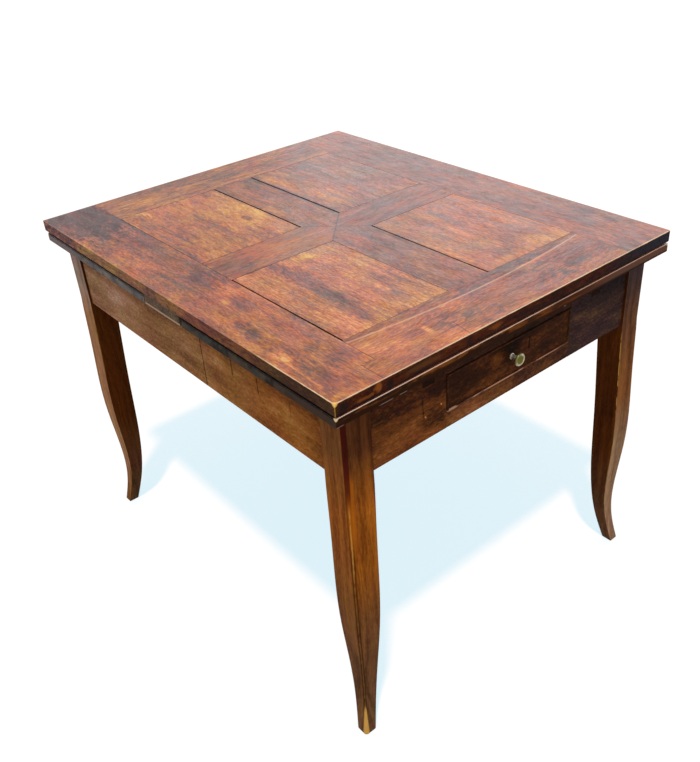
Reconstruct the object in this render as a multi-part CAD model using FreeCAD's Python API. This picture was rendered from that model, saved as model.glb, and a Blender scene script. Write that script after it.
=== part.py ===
import FreeCAD, Part
import math
import os
from FreeCAD import Vector

# Draw-leaf table: a four-legged frame with one drawer, two leaves on bearers that pull out
# at the ends, a fixed board between them and a loose framed top that hides them when closed.
# Millimetres, +Z up, origin on the floor under the middle of the top.
# The leaves travel along Y, the drawer opens towards -Y, "left" is -X and "near" is -Y.

# Overall size of the closed table
TABLE_HEIGHT = 780.0
TOP_WIDTH = 823.0
TOP_LENGTH = 997.0

# Loose top: stiles and rails round a cross and four flush panels
TOP_THICKNESS = 22.5
STILE_WIDTH_LEFT = 121.0
STILE_WIDTH_RIGHT = 132.0
END_RAIL_WIDTH_NEAR = 129.0
END_RAIL_WIDTH_FAR = 126.0
RAIL_STEP_LENGTH = 27.0
RAIL_STEP_WIDTH = 53.0
MUNTIN_WIDTH = 100.0
MID_RAIL_WIDTH = 102.0
CROSS_SHIFT_X = -5.0
CROSS_SHIFT_Y = -4.0
SEAM_TIGHT = 0.4
SEAM_OPEN = 2.5
TONGUE_THICKNESS = 7.0
TONGUE_LENGTH = 8.0
GROOVE_DEPTH = 9.0
GROOVE_CLEARANCE = 0.1

# Leaves and the fixed board between them
LEAF_THICKNESS = 16.5
LEAF_GAP_UNDER_TOP = 4.0
LEAF_RUN_CLEARANCE = 0.5
LEAF_SIDE_INSET = 0.5
LEAF_END_INSET = 0.5
LEAF_OUTER_BOARD_WIDTH = 208.0
LEAF_TONGUE_THICKNESS = 5.0
CENTRE_BOARD_WIDTH = 125.0
CENTRE_BOARD_INSET = 0.5
CENTRE_GAP_NEAR = 9.0
CENTRE_GAP_FAR = 1.5

# Bearers that carry the leaves, and their stop pegs
BEARER_WIDTH = 26.0
BEARER_HEIGHT = 36.0
BEARER_DRAWER_GAP = 27.0
BEARER_PAIR_GAP = 6.0
BEARER_TAIL_DROP = 1.0
BEARER_RUN_CLEARANCE = 0.3
BEARER_SIDE_CLEARANCE = 0.5
BEARER_END_CLEARANCE = 3.0
STOP_PEG_DIAMETER = 10.0
STOP_PEG_DROP = 12.0
STOP_PEG_TAIL = 6.0

# Pegs that guide the loose top, and the pins that keep it from lifting off
GUIDE_PEG_DIAMETER = 18.0
GUIDE_PEG_RAIL_GAP = 5.0
GUIDE_PEG_SOCKET = 12.0
GUIDE_PEG_TAIL = 8.0
GUIDE_PEG_CLEARANCE = 0.5
TOP_LIFT = 30.0
PIN_DIAMETER = 6.0
PIN_LENGTH = 26.0
PIN_CLEARANCE = 0.5
PIN_BEARER_GAP = 3.0

# Legs: a square head, then a sabre curve that is the same on both outer faces.
# Each station is a share of the shaft's height, then the outer face's step inwards and the
# inner face's distance as shares of the head's width.
LEG_SECTION = 56.5
LEG_INSET_X = 28.0
LEG_INSET_Y = 24.0
LEG_ARRIS_TOP = 6.5
LEG_ARRIS_FOOT = 3.5
LEG_STATIONS = [
    (0.0, -0.24, 0.20),
    (0.067, -0.105, 0.37),
    (0.15, 0.01, 0.55),
    (0.25, 0.035, 0.69),
    (0.37, -0.035, 0.78),
    (0.5, -0.115, 0.825),
    (0.67, -0.105, 0.875),
    (0.84, -0.045, 0.945),
    (1.0, 0.0, 1.0),
]

# Aprons and their tenons
APRON_HEIGHT = 140.0
APRON_THICKNESS = 22.0
APRON_RECESS = 5.0
APRON_TENON_LENGTH = 30.0
APRON_TENON_THICKNESS = 10.0
APRON_TENON_SHOULDER = 19.0
APRON_SEAM_FROM_CENTRE = 62.0
APRON_LAP_LENGTH = 60.0
JOINT_CLEARANCE = 0.1

# Rail under the fixed board
CENTRE_RAIL_THICKNESS = 28.0
CENTRE_RAIL_HEIGHT = 110.0
STUB_TENON_LENGTH = 8.0
STUB_TENON_SHOULDER = 5.0
STUB_TENON_THICKNESS = 10.0

# Corner blocks
CORNER_BLOCK_REACH = 65.0
CORNER_BLOCK_RISE = 20.0
CORNER_BLOCK_HEIGHT = 40.0

# Drawer opening, runners and stops
DRAWER_RAIL_LOWER_HEIGHT = 30.5
DRAWER_RAIL_LOWER_DEPTH = 50.0
DRAWER_OPENING_HEIGHT = 76.0
DRAWER_SIDE_GAP = 1.0
DRAWER_TOP_GAP = 1.2
DRAWER_RUN_CLEARANCE = 0.3
RUNNER_LEDGE_WIDTH = 16.0
RUNNER_LEDGE_THICKNESS = 14.0
RUNNER_GUIDE_THICKNESS = 14.0
RUNNER_GUIDE_HEIGHT = 24.0
KICKER_WIDTH = 20.0
KICKER_HEIGHT = 20.0
KICKER_CLEARANCE = 1.0
DRAWER_STOP_WIDTH = 30.0
DRAWER_STOP_DEPTH = 16.0
DRAWER_STOP_HEIGHT = 6.0
DRAWER_STOP_X = 100.0
DRAWER_STOP_CLEARANCE = 0.3

# Drawer
DRAWER_FRONT_WIDTH = 320.0
DRAWER_FRONT_THICKNESS = 18.0
DRAWER_SIDE_THICKNESS = 10.0
DRAWER_SIDE_DROP = 12.5
DRAWER_SIDE_LAP = 8.0
DRAWER_BACK_THICKNESS = 10.0
DRAWER_BACK_SPACE = 40.0
DRAWER_BOTTOM_THICKNESS = 5.0
DRAWER_BOTTOM_RISE = 9.0
DRAWER_BOTTOM_LET_IN = 5.0
BEAD_WIDTH = 5.0
BEAD_SEAT = 4.0
BEAD_PROUD = 2.0

# Knob
KNOB_DIAMETER = 24.0
KNOB_PROJECTION = 21.0
KNOB_RISE = 4.0
KNOB_HEAD_THICKNESS = 6.5
KNOB_NECK_DIAMETER = 8.5
KNOB_ROSETTE_DIAMETER = 11.5
KNOB_ROSETTE_THICKNESS = 1.5
KNOB_WAIST = 6.0
KNOB_DISH_DIAMETER = 18.5
KNOB_DISH_DEPTH = 3.0
KNOB_SCREW_DIAMETER = 4.0
KNOB_SCREW_REACH = 12.0
KNOB_SCREW_HEAD_DIAMETER = 9.0
KNOB_SCREW_HEAD_HEIGHT = 3.0

# Wood screws
SCREW_DIAMETER = 4.0
SCREW_HEAD_DIAMETER = 8.0
SCREW_HEAD_HEIGHT = 3.0
SCREW_HOLE_CLEARANCE = 0.05
CENTRE_SCREW_LENGTH = 45.0
CENTRE_SCREW_Y = 35.0
CORNER_SCREW_LENGTH = 36.0
CORNER_SCREW_GRIP = 22.0
CORNER_SCREW_EDGE = 22.0
LEAF_SCREW_LENGTH = 28.0
LEAF_SCREW_BITE = 11.0
LEAF_SCREW_END = 45.0
LEAF_SCREW_COUNT = 3

# Heights that follow from the stack of top, leaves and frame
TOP_UNDERSIDE = TABLE_HEIGHT - TOP_THICKNESS
LEAF_TOP = TOP_UNDERSIDE - LEAF_GAP_UNDER_TOP
LEAF_BOTTOM = LEAF_TOP - LEAF_THICKNESS
FRAME_TOP = LEAF_BOTTOM - LEAF_RUN_CLEARANCE
APRON_BOTTOM = FRAME_TOP - APRON_HEIGHT
BEARER_BOTTOM = FRAME_TOP - BEARER_HEIGHT
BEARER_TAIL_TOP = FRAME_TOP - BEARER_TAIL_DROP

# Distances from the middle of the table to the faces of the frame
LEG_OUTER_X = TOP_WIDTH / 2 - LEG_INSET_X
LEG_OUTER_Y = TOP_LENGTH / 2 - LEG_INSET_Y
LEG_INNER_X = LEG_OUTER_X - LEG_SECTION
LEG_INNER_Y = LEG_OUTER_Y - LEG_SECTION
APRON_OUTER_X = LEG_OUTER_X - APRON_RECESS
APRON_OUTER_Y = LEG_OUTER_Y - APRON_RECESS
APRON_INNER_X = APRON_OUTER_X - APRON_THICKNESS
APRON_INNER_Y = APRON_OUTER_Y - APRON_THICKNESS
RAIL_FACE_Y = CENTRE_RAIL_THICKNESS / 2

# Drawer opening and drawer box
OPENING_X = DRAWER_FRONT_WIDTH / 2 + DRAWER_SIDE_GAP
OPENING_BOTTOM = APRON_BOTTOM + DRAWER_RAIL_LOWER_HEIGHT
OPENING_TOP = OPENING_BOTTOM + DRAWER_OPENING_HEIGHT
DRAWER_X = DRAWER_FRONT_WIDTH / 2
DRAWER_BOTTOM_EDGE = OPENING_BOTTOM + DRAWER_RUN_CLEARANCE
DRAWER_FRONT_TOP = OPENING_TOP - DRAWER_TOP_GAP
DRAWER_SIDE_TOP = DRAWER_FRONT_TOP - DRAWER_SIDE_DROP
DRAWER_FRONT_FACE = -APRON_OUTER_Y
DRAWER_FRONT_REAR = DRAWER_FRONT_FACE + DRAWER_FRONT_THICKNESS
DRAWER_REAR = -RAIL_FACE_Y - DRAWER_BACK_SPACE
DRAWER_PANEL_Z = DRAWER_BOTTOM_EDGE + DRAWER_BOTTOM_RISE
DRAWER_MIDDLE_Z = (DRAWER_BOTTOM_EDGE + DRAWER_FRONT_TOP) / 2
KNOB_Z = DRAWER_MIDDLE_Z + KNOB_RISE

# Lines of the top seen in plan
TOP_X = TOP_WIDTH / 2
TOP_Y = TOP_LENGTH / 2
STILE_LEFT_X = -TOP_X + STILE_WIDTH_LEFT
STILE_RIGHT_X = TOP_X - STILE_WIDTH_RIGHT
RAIL_NEAR_Y = -TOP_Y + END_RAIL_WIDTH_NEAR
RAIL_FAR_Y = TOP_Y - END_RAIL_WIDTH_FAR
MUNTIN_LEFT_X = CROSS_SHIFT_X - MUNTIN_WIDTH / 2
MUNTIN_RIGHT_X = CROSS_SHIFT_X + MUNTIN_WIDTH / 2
MID_NEAR_Y = CROSS_SHIFT_Y - MID_RAIL_WIDTH / 2
MID_FAR_Y = CROSS_SHIFT_Y + MID_RAIL_WIDTH / 2
TONGUE_Z = TOP_UNDERSIDE + (TOP_THICKNESS - TONGUE_THICKNESS) / 2

# Leaf and bearer lines, written for the near leaf with distances towards -Y
LEAF_X = TOP_X - LEAF_SIDE_INSET
LEAF_INNER_Y = CENTRE_BOARD_WIDTH / 2 + CENTRE_GAP_NEAR
LEAF_OUTER_Y = TOP_Y - LEAF_END_INSET
LEAF_SEAM_Y = LEAF_OUTER_Y - LEAF_OUTER_BOARD_WIDTH
FAR_LEAF_PUSH = CENTRE_GAP_NEAR - CENTRE_GAP_FAR
BEARER_TAIL_Y = APRON_INNER_Y - BEARER_END_CLEARANCE - FAR_LEAF_PUSH
STOP_PEG_Y = BEARER_TAIL_Y - STOP_PEG_TAIL - STOP_PEG_DIAMETER / 2
BEARER_INNER_X = OPENING_X + BEARER_DRAWER_GAP + BEARER_WIDTH / 2
BEARER_OUTER_X = BEARER_INNER_X + BEARER_WIDTH + BEARER_PAIR_GAP
NEAR_BEARER_PLACES = {"left": -BEARER_INNER_X, "right": BEARER_OUTER_X}

# Guide pegs of the loose top, on the inner side of the bearers
GUIDE_PEG_X = BEARER_INNER_X - BEARER_WIDTH / 2 - PIN_BEARER_GAP - PIN_LENGTH / 2
GUIDE_PEG_Y = RAIL_FACE_Y + GUIDE_PEG_RAIL_GAP + GUIDE_PEG_DIAMETER / 2
PIN_Z = FRAME_TOP - TOP_LIFT - PIN_CLEARANCE - PIN_DIAMETER / 2
GUIDE_PEG_BOTTOM = PIN_Z - PIN_DIAMETER / 2 - GUIDE_PEG_TAIL

ORIGIN = Vector(0, 0, 0)
UP = Vector(0, 0, 1)
DOWN = Vector(0, 0, -1)
INWARD = Vector(0, 1, 0)


def box(x0, x1, y0, y1, z0, z1):
    return Part.makeBox(x1 - x0, y1 - y0, z1 - z0, Vector(x0, y0, z0))


def outline(corners):
    return Part.makePolygon(corners + corners[:1])


def prism(points, z0, z1):
    # The points may run either way round.
    following = points[1:] + points[:1]
    twice_area = sum(a[0] * b[1] - b[0] * a[1] for a, b in zip(points, following))
    ordered = points if twice_area > 0 else points[::-1]
    face = Part.Face(outline([Vector(x, y, z0) for x, y in ordered]))
    return face.extrude(Vector(0, 0, z1 - z0))


def rod(radius, start, direction, length):
    return Part.makeCylinder(radius, length, start, direction)


def fused(*shapes):
    return shapes[0].multiFuse(list(shapes[1:])).removeSplitter()


def mirrored(shape, *normals):
    for normal in normals:
        shape = shape.mirror(ORIGIN, normal)
    return shape


def far_copy(shape):
    # The far leaf is the near one turned half round and pushed further in.
    turned = shape.copy()
    turned.rotate(ORIGIN, UP, 180)
    turned.translate(Vector(0, -FAR_LEAF_PUSH, 0))
    return turned


def both_sides(name, build):
    save(name + "_left", build(-1))
    save(name + "_right", build(1))


def save_corners(name, near_left):
    # One piece at the near left corner, mirrored to the other three.
    across = Vector(1, 0, 0)
    along = Vector(0, 1, 0)
    save(name + "_near_left", near_left)
    save(name + "_near_right", mirrored(near_left, across))
    save(name + "_far_left", mirrored(near_left, along))
    save(name + "_far_right", mirrored(near_left, across, along))


def save(name, shape):
    if isinstance(shape, list):
        shape = Part.makeCompound(shape)
    shape.exportStep(os.path.join("parts", name + ".step"))


def wood_screw(seat, direction, length, grow=0.0, head_grow=0.0, sunk=0.0):
    # A shank with a conical head whose flat top lies at the seat; sunk adds a counterbore.
    radius = SCREW_DIAMETER / 2 + grow
    head_radius = SCREW_HEAD_DIAMETER / 2 + head_grow
    shank = rod(radius, seat, direction, length + grow)
    head = Part.makeCone(head_radius, radius, SCREW_HEAD_HEIGHT + head_grow, seat, direction)
    screw = shank.fuse(head)
    if sunk:
        screw = screw.fuse(rod(head_radius, seat - direction * sunk, direction, sunk))
    return screw


def screw_hole(seat, direction, length, sunk=0.0):
    return wood_screw(seat, direction, length, SCREW_HOLE_CLEARANCE, SCREW_HOLE_CLEARANCE, sunk)


# Legs

def leg_section(level, outer_share, inner_share):
    # A square with a flat on its outer arris, at a share of the shaft's height.
    arris = LEG_ARRIS_FOOT + (LEG_ARRIS_TOP - LEG_ARRIS_FOOT) * level
    outer = outer_share * LEG_SECTION
    inner = inner_share * LEG_SECTION
    steps = [
        (outer + arris, outer),
        (inner, outer),
        (inner, inner),
        (outer, inner),
        (outer, outer + arris),
    ]
    return [(-LEG_OUTER_X + u, -LEG_OUTER_Y + v) for u, v in steps]


def leg_wire(station):
    height = station[0] * APRON_BOTTOM
    return outline([Vector(x, y, height) for x, y in leg_section(*station)])


def apron_mortises():
    # The sockets of the near left leg for the end apron and the long apron.
    z0 = APRON_BOTTOM + APRON_TENON_SHOULDER - JOINT_CLEARANCE
    z1 = FRAME_TOP - APRON_TENON_SHOULDER + JOINT_CLEARANCE
    depth = APRON_TENON_LENGTH + JOINT_CLEARANCE
    half = APRON_TENON_THICKNESS / 2 + JOINT_CLEARANCE
    middle_x = -(APRON_OUTER_X + APRON_INNER_X) / 2
    middle_y = -(APRON_OUTER_Y + APRON_INNER_Y) / 2
    end_socket = box(-LEG_INNER_X - depth, -LEG_INNER_X, middle_y - half, middle_y + half, z0, z1)
    long_socket = box(middle_x - half, middle_x + half, -LEG_INNER_Y - depth, -LEG_INNER_Y, z0, z1)
    return [end_socket, long_socket]


def near_left_leg():
    head = prism(leg_section(*LEG_STATIONS[-1]), APRON_BOTTOM, FRAME_TOP)
    shaft = Part.makeLoft([leg_wire(station) for station in LEG_STATIONS], True, False)
    return head.fuse(shaft).cut(Part.makeCompound(apron_mortises()))


# Fasteners of the frame

def corner_screw_places():
    # Seat and direction of the two screws of each corner block.
    height = APRON_BOTTOM + CORNER_BLOCK_RISE + CORNER_BLOCK_HEIGHT / 2
    seat_x = APRON_INNER_X - CORNER_SCREW_GRIP
    seat_y = APRON_INNER_Y - CORNER_SCREW_GRIP
    line_x = LEG_INNER_X - CORNER_SCREW_EDGE
    line_y = LEG_INNER_Y - CORNER_SCREW_EDGE
    places = []
    for side in (-1, 1):
        for end in (-1, 1):
            places.append((Vector(side * seat_x, end * line_y, height), Vector(side, 0, 0)))
            places.append((Vector(side * line_x, end * seat_y, height), Vector(0, end, 0)))
    return places


def centre_screw_places():
    line_x = (APRON_OUTER_X + APRON_INNER_X) / 2
    return [
        (Vector(side * line_x, end * CENTRE_SCREW_Y, TOP_UNDERSIDE), DOWN)
        for side in (-1, 1)
        for end in (-1, 1)
    ]


def corner_screw_holes():
    return [
        screw_hole(seat, way, CORNER_SCREW_LENGTH, CORNER_BLOCK_REACH)
        for seat, way in corner_screw_places()
    ]


def centre_screw_holes():
    return [screw_hole(seat, way, CENTRE_SCREW_LENGTH) for seat, way in centre_screw_places()]


def drilled(shape):
    return shape.cut(Part.makeCompound(corner_screw_holes() + centre_screw_holes()))


def save_frame_screws():
    sets = {
        "centre_board_screws": (CENTRE_SCREW_LENGTH, centre_screw_places()),
        "corner_block_screws": (CORNER_SCREW_LENGTH, corner_screw_places()),
    }
    for name, (length, places) in sets.items():
        save(name, [wood_screw(seat, way, length) for seat, way in places])


# Aprons

def long_tenon(side, end):
    middle = side * (APRON_OUTER_X + APRON_INNER_X) / 2
    half = APRON_TENON_THICKNESS / 2
    y0, y1 = sorted((end * LEG_INNER_Y, end * (LEG_INNER_Y + APRON_TENON_LENGTH)))
    z0 = APRON_BOTTOM + APRON_TENON_SHOULDER
    z1 = FRAME_TOP - APRON_TENON_SHOULDER
    return box(middle - half, middle + half, y0, y1, z0, z1)


def end_tenon(side, end):
    middle = end * (APRON_OUTER_Y + APRON_INNER_Y) / 2
    half = APRON_TENON_THICKNESS / 2
    x0, x1 = sorted((side * LEG_INNER_X, side * (LEG_INNER_X + APRON_TENON_LENGTH)))
    z0 = APRON_BOTTOM + APRON_TENON_SHOULDER
    z1 = FRAME_TOP - APRON_TENON_SHOULDER
    return box(x0, x1, middle - half, middle + half, z0, z1)


def centre_rail_stub(side, grow=0.0):
    # The tongue at one end of the centre rail, or its socket when grown.
    half = STUB_TENON_THICKNESS / 2 + grow
    x0, x1 = sorted((side * APRON_INNER_X, side * (APRON_INNER_X + STUB_TENON_LENGTH + grow)))
    z0 = FRAME_TOP - CENTRE_RAIL_HEIGHT + STUB_TENON_SHOULDER - grow
    z1 = BEARER_BOTTOM - STUB_TENON_SHOULDER + grow
    return box(x0, x1, -half, half, z0, z1)


def long_apron(side, y0, y1, tenon_ends):
    x0, x1 = sorted((side * APRON_INNER_X, side * APRON_OUTER_X))
    board = box(x0, x1, y0, y1, APRON_BOTTOM, FRAME_TOP)
    for end in tenon_ends:
        board = board.fuse(long_tenon(side, end))
    return drilled(board.cut(centre_rail_stub(side, JOINT_CLEARANCE)))


def save_long_aprons():
    # The left apron is made of two boards, half lapped, whose seam shows on the outer face.
    save("right_apron", long_apron(1, -LEG_INNER_Y, LEG_INNER_Y, (-1, 1)))
    seam = -APRON_SEAM_FROM_CENTRE
    lap_end = seam - APRON_LAP_LENGTH
    middle = -(APRON_OUTER_X + APRON_INNER_X) / 2
    inner_half = box(middle, -APRON_INNER_X, lap_end, seam, APRON_BOTTOM, FRAME_TOP)
    near_board = long_apron(-1, -LEG_INNER_Y, seam, (-1,)).cut(inner_half)
    far_board = fused(long_apron(-1, seam, LEG_INNER_Y, (1,)), inner_half)
    save("left_apron_near", near_board)
    save("left_apron_far", far_board)


def bearer_notch(centre_x, y0, y1):
    half = BEARER_WIDTH / 2 + BEARER_SIDE_CLEARANCE
    floor = BEARER_BOTTOM - BEARER_RUN_CLEARANCE
    return box(centre_x - half, centre_x + half, y0, y1, floor, FRAME_TOP)


def far_apron():
    board = box(-LEG_INNER_X, LEG_INNER_X, APRON_INNER_Y, APRON_OUTER_Y, APRON_BOTTOM, FRAME_TOP)
    board = fused(board, end_tenon(-1, 1), end_tenon(1, 1))
    for place in NEAR_BEARER_PLACES.values():
        board = board.cut(bearer_notch(-place, APRON_INNER_Y, APRON_OUTER_Y))
    return drilled(board)


def drawer_rail_stub(side, z0, z1, grow=0.0):
    # The tongue at one end of a drawer rail, or its socket when grown.
    middle = -(APRON_OUTER_Y + APRON_INNER_Y) / 2
    half = STUB_TENON_THICKNESS / 2 + grow
    x0, x1 = sorted((side * OPENING_X, side * (OPENING_X + STUB_TENON_LENGTH + grow)))
    low = z0 + STUB_TENON_SHOULDER - grow
    high = z1 - STUB_TENON_SHOULDER + grow
    return box(x0, x1, middle - half, middle + half, low, high)


def drawer_apron(side):
    x0, x1 = sorted((side * OPENING_X, side * LEG_INNER_X))
    board = box(x0, x1, -APRON_OUTER_Y, -APRON_INNER_Y, APRON_BOTTOM, FRAME_TOP)
    board = board.fuse(end_tenon(side, -1))
    place = NEAR_BEARER_PLACES["left" if side < 0 else "right"]
    board = board.cut(bearer_notch(place, -APRON_OUTER_Y, -APRON_INNER_Y))
    board = board.cut(drawer_rail_stub(side, APRON_BOTTOM, OPENING_BOTTOM, JOINT_CLEARANCE))
    board = board.cut(drawer_rail_stub(side, OPENING_TOP, FRAME_TOP, JOINT_CLEARANCE))
    return drilled(board)


def drawer_rail(z0, z1, depth):
    rail = box(-OPENING_X, OPENING_X, -APRON_OUTER_Y, -APRON_OUTER_Y + depth, z0, z1)
    return fused(rail, drawer_rail_stub(-1, z0, z1), drawer_rail_stub(1, z0, z1))


def save_end_aprons():
    save("far_apron", far_apron())
    both_sides("drawer_apron", drawer_apron)
    save("drawer_rail_lower", drawer_rail(APRON_BOTTOM, OPENING_BOTTOM, DRAWER_RAIL_LOWER_DEPTH))
    save("drawer_rail_upper", drawer_rail(OPENING_TOP, FRAME_TOP, APRON_THICKNESS))


# Middle of the frame

def centre_rail():
    bottom = FRAME_TOP - CENTRE_RAIL_HEIGHT
    rail = box(-APRON_INNER_X, APRON_INNER_X, -RAIL_FACE_Y, RAIL_FACE_Y, bottom, FRAME_TOP)
    rail = fused(rail, centre_rail_stub(-1), centre_rail_stub(1))
    for place in NEAR_BEARER_PLACES.values():
        for centre_x in (place, -place):
            rail = rail.cut(bearer_notch(centre_x, -RAIL_FACE_Y, RAIL_FACE_Y))
    return rail


def centre_board():
    reach = TOP_X - CENTRE_BOARD_INSET
    half = CENTRE_BOARD_WIDTH / 2
    board = box(-reach, reach, -half, half, FRAME_TOP, TOP_UNDERSIDE)
    radius = GUIDE_PEG_DIAMETER / 2 + GUIDE_PEG_CLEARANCE
    for side in (-1, 1):
        start = Vector(side * GUIDE_PEG_X, GUIDE_PEG_Y, FRAME_TOP)
        board = board.cut(rod(radius, start, UP, TOP_UNDERSIDE - FRAME_TOP))
    return board.cut(Part.makeCompound(centre_screw_holes()))


def near_left_corner_block():
    reach_x = LEG_INNER_X - CORNER_BLOCK_REACH
    reach_y = LEG_INNER_Y - CORNER_BLOCK_REACH
    plan = [
        (-APRON_INNER_X, -LEG_INNER_Y),
        (-LEG_INNER_X, -LEG_INNER_Y),
        (-LEG_INNER_X, -APRON_INNER_Y),
        (-reach_x, -APRON_INNER_Y),
        (-APRON_INNER_X, -reach_y),
    ]
    bottom = APRON_BOTTOM + CORNER_BLOCK_RISE
    return drilled(prism(plan, bottom, bottom + CORNER_BLOCK_HEIGHT))


def save_frame_middle():
    save("centre_rail", centre_rail())
    save("centre_board", centre_board())


# What the drawer runs on

def drawer_runner(side):
    front = -APRON_OUTER_Y + DRAWER_RAIL_LOWER_DEPTH
    ledge_x = OPENING_X - RUNNER_LEDGE_WIDTH
    guide_x = OPENING_X + RUNNER_GUIDE_THICKNESS
    bottom = OPENING_BOTTOM - RUNNER_LEDGE_THICKNESS
    x0, x1 = sorted((side * ledge_x, side * guide_x))
    ledge = box(x0, x1, front, -RAIL_FACE_Y, bottom, OPENING_BOTTOM)
    x0, x1 = sorted((side * OPENING_X, side * guide_x))
    guide = box(x0, x1, front, -RAIL_FACE_Y, bottom, OPENING_BOTTOM + RUNNER_GUIDE_HEIGHT)
    return fused(ledge, guide)


def drawer_kicker(side):
    x0, x1 = sorted((side * (DRAWER_X - KICKER_WIDTH), side * DRAWER_X))
    bottom = DRAWER_SIDE_TOP + KICKER_CLEARANCE
    return box(x0, x1, -APRON_INNER_Y, -RAIL_FACE_Y, bottom, bottom + KICKER_HEIGHT)


def drawer_stop(side):
    half = DRAWER_STOP_WIDTH / 2
    front = DRAWER_FRONT_REAR + DRAWER_STOP_CLEARANCE
    centre_x = side * DRAWER_STOP_X
    top = OPENING_BOTTOM + DRAWER_STOP_HEIGHT
    return box(centre_x - half, centre_x + half, front, front + DRAWER_STOP_DEPTH, OPENING_BOTTOM, top)


def save_drawer_supports():
    both_sides("drawer_runner", drawer_runner)
    both_sides("drawer_kicker", drawer_kicker)
    save("drawer_stops", [drawer_stop(-1), drawer_stop(1)])


# Leaves, written for the near one

def leaf_tongue(grow=0.0):
    z0 = LEAF_BOTTOM + (LEAF_THICKNESS - LEAF_TONGUE_THICKNESS) / 2 - grow
    length = GROOVE_DEPTH if grow else TONGUE_LENGTH
    z1 = z0 + LEAF_TONGUE_THICKNESS + 2 * grow
    return box(-LEAF_X, LEAF_X, -LEAF_SEAM_Y, -LEAF_SEAM_Y + length, z0, z1)


def leaf_screw_places():
    first = APRON_OUTER_Y - LEAF_SCREW_END
    last = LEAF_INNER_Y + LEAF_SCREW_END
    pitch = (first - last) / (LEAF_SCREW_COUNT - 1)
    seat_z = LEAF_BOTTOM + LEAF_SCREW_BITE - LEAF_SCREW_LENGTH
    return [
        Vector(centre_x, -(first - index * pitch), seat_z)
        for centre_x in NEAR_BEARER_PLACES.values()
        for index in range(LEAF_SCREW_COUNT)
    ]


def leaf_screw_holes():
    holes = [screw_hole(seat, UP, LEAF_SCREW_LENGTH, BEARER_HEIGHT) for seat in leaf_screw_places()]
    return Part.makeCompound(holes)


def leaf_inner_board():
    board = box(-LEAF_X, LEAF_X, -LEAF_SEAM_Y, -LEAF_INNER_Y, LEAF_BOTTOM, LEAF_TOP)
    return board.cut(leaf_tongue(GROOVE_CLEARANCE)).cut(leaf_screw_holes())


def leaf_outer_board():
    board = box(-LEAF_X, LEAF_X, -LEAF_OUTER_Y, -LEAF_SEAM_Y, LEAF_BOTTOM, LEAF_TOP)
    return fused(board, leaf_tongue()).cut(leaf_screw_holes())


def stop_peg(centre_x, grow=0.0):
    radius = STOP_PEG_DIAMETER / 2 + grow
    bottom = BEARER_BOTTOM - STOP_PEG_DROP
    return rod(radius, Vector(centre_x, STOP_PEG_Y, bottom), UP, BEARER_TAIL_TOP - bottom)


def bearer(centre_x):
    # Full height where the leaf lies on it, a little lower where it runs under the fixed board.
    x0 = centre_x - BEARER_WIDTH / 2
    x1 = centre_x + BEARER_WIDTH / 2
    under_leaf = box(x0, x1, -APRON_OUTER_Y, -LEAF_INNER_Y, BEARER_BOTTOM, LEAF_BOTTOM)
    tail = box(x0, x1, -LEAF_INNER_Y, BEARER_TAIL_Y, BEARER_BOTTOM, BEARER_TAIL_TOP)
    whole = fused(under_leaf, tail).cut(leaf_screw_holes())
    return whole.cut(stop_peg(centre_x, SCREW_HOLE_CLEARANCE))


def save_leaves():
    screws = [wood_screw(seat, UP, LEAF_SCREW_LENGTH) for seat in leaf_screw_places()]
    pegs = [stop_peg(place) for place in NEAR_BEARER_PLACES.values()]
    pieces = {
        "leaf_inner_board": leaf_inner_board(),
        "leaf_outer_board": leaf_outer_board(),
        "leaf_screws": Part.makeCompound(screws),
        "leaf_stop_pegs": Part.makeCompound(pegs),
    }
    for name, shape in pieces.items():
        save("near_" + name, shape)
        save("far_" + name, far_copy(shape))
    left = bearer(NEAR_BEARER_PLACES["left"])
    right = bearer(NEAR_BEARER_PLACES["right"])
    save("near_leaf_bearer_left", left)
    save("near_leaf_bearer_right", right)
    save("far_leaf_bearer_left", far_copy(right))
    save("far_leaf_bearer_right", far_copy(left))


# Loose top

def slab(x0, x1, y0, y1):
    return box(x0, x1, y0, y1, TOP_UNDERSIDE, TABLE_HEIGHT)


def tongue(x0, x1, y0, y1):
    return box(x0, x1, y0, y1, TONGUE_Z, TONGUE_Z + TONGUE_THICKNESS)


def groove(x0, x1, y0, y1):
    z0 = TONGUE_Z - GROOVE_CLEARANCE
    return box(x0, x1, y0, y1, z0, z0 + TONGUE_THICKNESS + 2 * GROOVE_CLEARANCE)


def near_rail_step():
    # The outer part of the near rail reaches further into the left stile.
    step_x = STILE_LEFT_X - RAIL_STEP_LENGTH
    return slab(step_x, STILE_LEFT_X, -TOP_Y, -TOP_Y + RAIL_STEP_WIDTH)


def save_stiles():
    left = slab(-TOP_X, STILE_LEFT_X, -TOP_Y, TOP_Y).cut(near_rail_step())
    right = slab(STILE_RIGHT_X, TOP_X, -TOP_Y, TOP_Y)
    save("top_stile_left", left.cut(groove(STILE_LEFT_X - GROOVE_DEPTH, STILE_LEFT_X, -TOP_Y, TOP_Y)))
    save("top_stile_right", right.cut(groove(STILE_RIGHT_X, STILE_RIGHT_X + GROOVE_DEPTH, -TOP_Y, TOP_Y)))


def end_rail(y0, y1, groove_y0, groove_y1):
    board = slab(STILE_LEFT_X, STILE_RIGHT_X, y0, y1)
    board = board.cut(groove(STILE_LEFT_X, STILE_RIGHT_X, groove_y0, groove_y1))
    left = tongue(STILE_LEFT_X - TONGUE_LENGTH, STILE_LEFT_X, y0, y1)
    right = tongue(STILE_RIGHT_X, STILE_RIGHT_X + TONGUE_LENGTH, y0, y1)
    return fused(board, left, right)


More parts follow.
